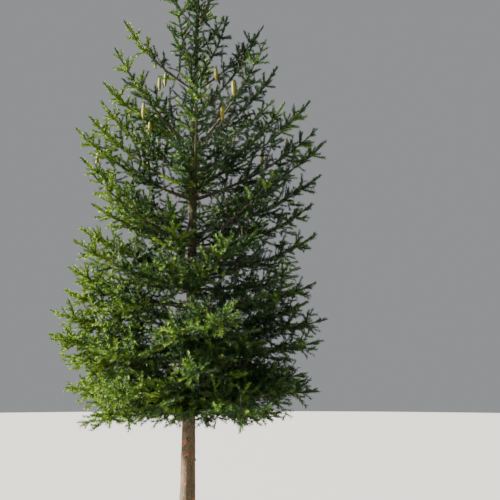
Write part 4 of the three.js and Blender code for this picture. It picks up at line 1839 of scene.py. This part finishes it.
@dataclass
class Cones:
    """The hanging cones: overlapping scales, each copied from one modelled scale, round a slim core.

    Each cone hangs from the twig whose end is nearest to its place. The outlines are shares of the length
    with shares of the radius, or with radii.
    """

    twigs: list[Twig]
    near: tuple[Triple, ...] = (
        (-0.38, 0.23, 4.72), (-0.3, 0.12, 4.72), (-0.42, -0.44, 4.16), (-0.39, -0.21, 4.08),
        (-0.93, 0.07, 3.87), (0.22, -0.13, 4.66), (0.4, -0.59, 4.31), (0.92, 0.01, 3.97),
        (0.3, -0.42, 4.14), (0.67, 0.06, 3.86), (-0.3, 0.5, 4.5), (0.2, 0.6, 4.6), (0.45, 0.45, 4.3),
        (-0.1, 0.85, 4.1), (-0.55, 0.5, 4.0), (0.15, 0.4, 5.0),
    )
    seed: int = 77
    length: float = 0.16
    radius: float = 0.017
    outline: tuple[Pair, ...] = ((0, 0.35), (0.12, 0.85), (0.6, 1.0), (0.9, 0.66), (1, 0.2))
    core_outline: tuple[Pair, ...] = (
        (0.0, 0.002), (0.05, 0.004), (0.15, 0.012), (0.6, 0.0135), (0.9, 0.008), (0.99, 0.002)
    )
    core_sides: int = 8
    lean_spread: float = 0.08
    rows: int = 19
    in_row: int = 7
    scale_length: float = 0.021
    scale_width: float = 0.017
    scale_outline: tuple[Pair, ...] = ((0, 0.45), (0.34, 1.0), (0.67, 0.95), (1, 0.35))
    scale_lift: float = 0.0035
    scale_bow: float = 0.0022
    smallest_scale: float = 0.6

    def build(self) -> bpy.types.Object:
        """Builds all the cones, with cores that close the gaps between scales.

        Returns:
            The piece with all the cones.
        """
        draws, plate = Draws(self.seed), self.scale()
        all_points, all_faces, base = [], [], 0
        ends = [twig.points[-1] for twig in self.twigs if twig.rank in (Rank.BRANCH, Rank.TWIG)]
        for place in self.near:
            top = min(ends, key=lambda end: (end - Vector(place)).length)
            ends.remove(top)
            lean = Vector((draws.around(0, self.lean_spread), draws.around(0, self.lean_spread), 0))
            down = (lean - UP).normalized()
            for points, faces in (self.one(top, down, plate), self.core(top, down)):
                all_points.append(points)
                all_faces.append(faces + base)
                base += len(points)
        points, faces = np.concatenate(all_points), np.concatenate(all_faces)
        return mesh_piece("cones", points, faces, CONE_COAT.material())

    def scale(self) -> Arrays:
        """Models one scale: a plate that is narrowed at both ends and bent round the cone.

        Returns:
            Its points, hanging down from the origin, and its triangles.
        """
        deselect_all()
        bpy.ops.mesh.primitive_grid_add(x_subdivisions=2, y_subdivisions=3, size=1, location=(0, 0, 0))
        plate = bpy.context.object
        bpy.ops.object.mode_set(mode="EDIT")
        bpy.ops.mesh.select_all(action="SELECT")
        bpy.ops.transform.resize(value=(self.scale_width, self.scale_length, 1))
        bpy.ops.mesh.quads_convert_to_tris()
        bpy.ops.object.mode_set(mode="OBJECT")
        points = np.array([vertex.co for vertex in plate.data.vertices])
        faces = np.array([face.vertices[:] for face in plate.data.polygons])
        bpy.data.objects.remove(plate)
        down = points[:, 1] / self.scale_length + 0.5
        taper = np.interp(down, *zip(*self.scale_outline))
        crown = 1 - (2 * points[:, 0] / self.scale_width) ** 2
        out = self.scale_lift * down + self.scale_bow * crown * taper
        return np.stack([points[:, 0] * taper, out, -down * self.scale_length], axis=1), faces

    def one(self, top: Vector, down: Vector, plate: Arrays) -> Arrays:
        """The scales of one cone.

        Args:
            top: The point that it hangs from.
            down: The direction in which it hangs.
            plate: The points and triangles of one scale.

        Returns:
            Its points and triangles.
        """
        plate_points, plate_faces = plate
        turned = np.array((-UP).rotation_difference(down).to_matrix())
        points, faces = [], []
        count = self.rows * self.in_row
        for index in range(count):
            share = index / count
            outline = np.interp(share, *zip(*self.outline))
            ring = self.radius * outline - self.scale_lift
            angle = index * GOLDEN_ANGLE
            out = np.array((math.cos(angle), math.sin(angle), 0))
            across = np.array((-math.sin(angle), math.cos(angle), 0))
            scaled = plate_points * lerp(self.smallest_scale, 1, outline)
            placed = scaled[:, :1] * across + (scaled[:, 1:2] + ring) * out + scaled[:, 2:] * np.array(UP)
            placed[:, 2] -= share * (self.length - self.scale_length)
            points.append(placed)
            faces.append(plate_faces + len(plate_points) * index)
        return np.concatenate(points) @ turned.T + np.array(top), np.concatenate(faces)

    def core(self, top: Vector, down: Vector) -> Arrays:
        """The stalk and core of one cone, as rings along its axis.

        Args:
            top: The point that it hangs from.
            down: The direction in which it hangs.

        Returns:
            Its points and triangles.
        """
        across, up = cross_directions(down)
        points = []
        for share, radius in self.core_outline:
            points += ring_points(top + down * share * self.length, across, up, radius, self.core_sides)
        return np.array(points), np.array(tube_faces(0, len(self.core_outline), self.core_sides))


@dataclass
class Studio:
    """The pale floor, the sun and surround, and the camera of the photo's view."""

    camera_place: Triple = (0.554, -6.5, 1.6)
    pitch: float = 11
    lens: float = 50.4
    sensor: float = 36
    sight: float = 200
    floor_radius: float = 40
    floor_sides: int = 96
    floor_thickness: float = 0.05
    key_place: Triple = (-4, -5, 8)
    key_bearing: float = 178
    key_lift: float = 29
    key_strength: float = 28.5
    key_softness: float = 5
    key_colour: Colour = (1.0, 0.96, 0.88)
    fill_strength: float = 0.32
    fill_colour: Colour = (0.93, 0.96, 1.0)

    def build(self) -> None:
        """Lays the floor, hangs the light and sets the camera."""
        self.lay_floor()
        self.hang_light()
        self.set_camera()

    def lay_floor(self) -> None:
        """A round plain floor with a little thickness, its top at the ground."""
        floor = start_ring(self.floor_sides, self.floor_radius, Vector((0, 0, 0)))
        floor.name = floor.data.name = "floor"
        bpy.ops.mesh.extrude_region_move(TRANSFORM_OT_translate={"value": (0, 0, -self.floor_thickness)})
        face_outwards()
        bpy.ops.object.mode_set(mode="OBJECT")
        floor.data.materials.append(FLOOR_PAINT.material())

    def hang_light(self) -> None:
        """A sun from the left, a third of the way up the sky, and an even pale surround."""
        deselect_all()
        bpy.ops.object.light_add(type="SUN", location=self.key_place)
        key = bpy.context.object
        towards = swing(level_direction(math.radians(self.key_bearing)), UP, math.radians(self.key_lift))
        key.rotation_euler = towards.to_track_quat("Z", "Y").to_euler()
        key.data.energy = self.key_strength
        key.data.angle = math.radians(self.key_softness)
        key.data.color = self.key_colour
        world = bpy.data.worlds.new("studio")
        world.use_nodes = True
        surround = world.node_tree.nodes["Background"]
        surround.inputs["Color"].default_value = (*self.fill_colour, 1.0)
        surround.inputs["Strength"].default_value = self.fill_strength
        bpy.context.scene.world = world

    def set_camera(self) -> None:
        """The photo's view: from eye height, looking a little up."""
        turned = (math.radians(90 + self.pitch), 0, 0)
        bpy.ops.object.camera_add(location=self.camera_place, rotation=turned)
        camera = bpy.context.object
        camera.data.lens = self.lens
        camera.data.sensor_width = self.sensor
        camera.data.clip_end = self.sight
        bpy.context.scene.camera = camera


def main() -> None:
    """Builds the tree's parts in order, dresses them, and sets the studio round them."""
    logging.basicConfig(level=logging.INFO, format="%(name)s %(message)s")
    nodes = sorted(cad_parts)
    limbs = [name for name in nodes if name.startswith("bough")]
    masses = [name for name in nodes if name.startswith(("foliage", "leader"))]
    shape = TreeShape()
    crown = Crown(shape)
    crown.grow()

    for part, slot, stands_for in (
        (Trunk(shape), "trunk_bark", ["trunk"]),
        (Knots(shape), "trunk_bark", []),
        (Limbs(shape, crown.boughs), "limb_bark", limbs),
    ):
        piece = part.build()
        part.dress(piece)
        hand_over(piece, stands_for)

    wood = TwigWood(crown.twigs)
    for piece in [*wood.build(), wood.build_buds()]:
        hand_over(piece, masses)
    for piece in Needles(crown.twigs).build():
        hand_over(piece, masses)
    hand_over(Cones(crown.twigs).build(), masses)

    Studio().build()


if __name__ == "__main__":
    main()
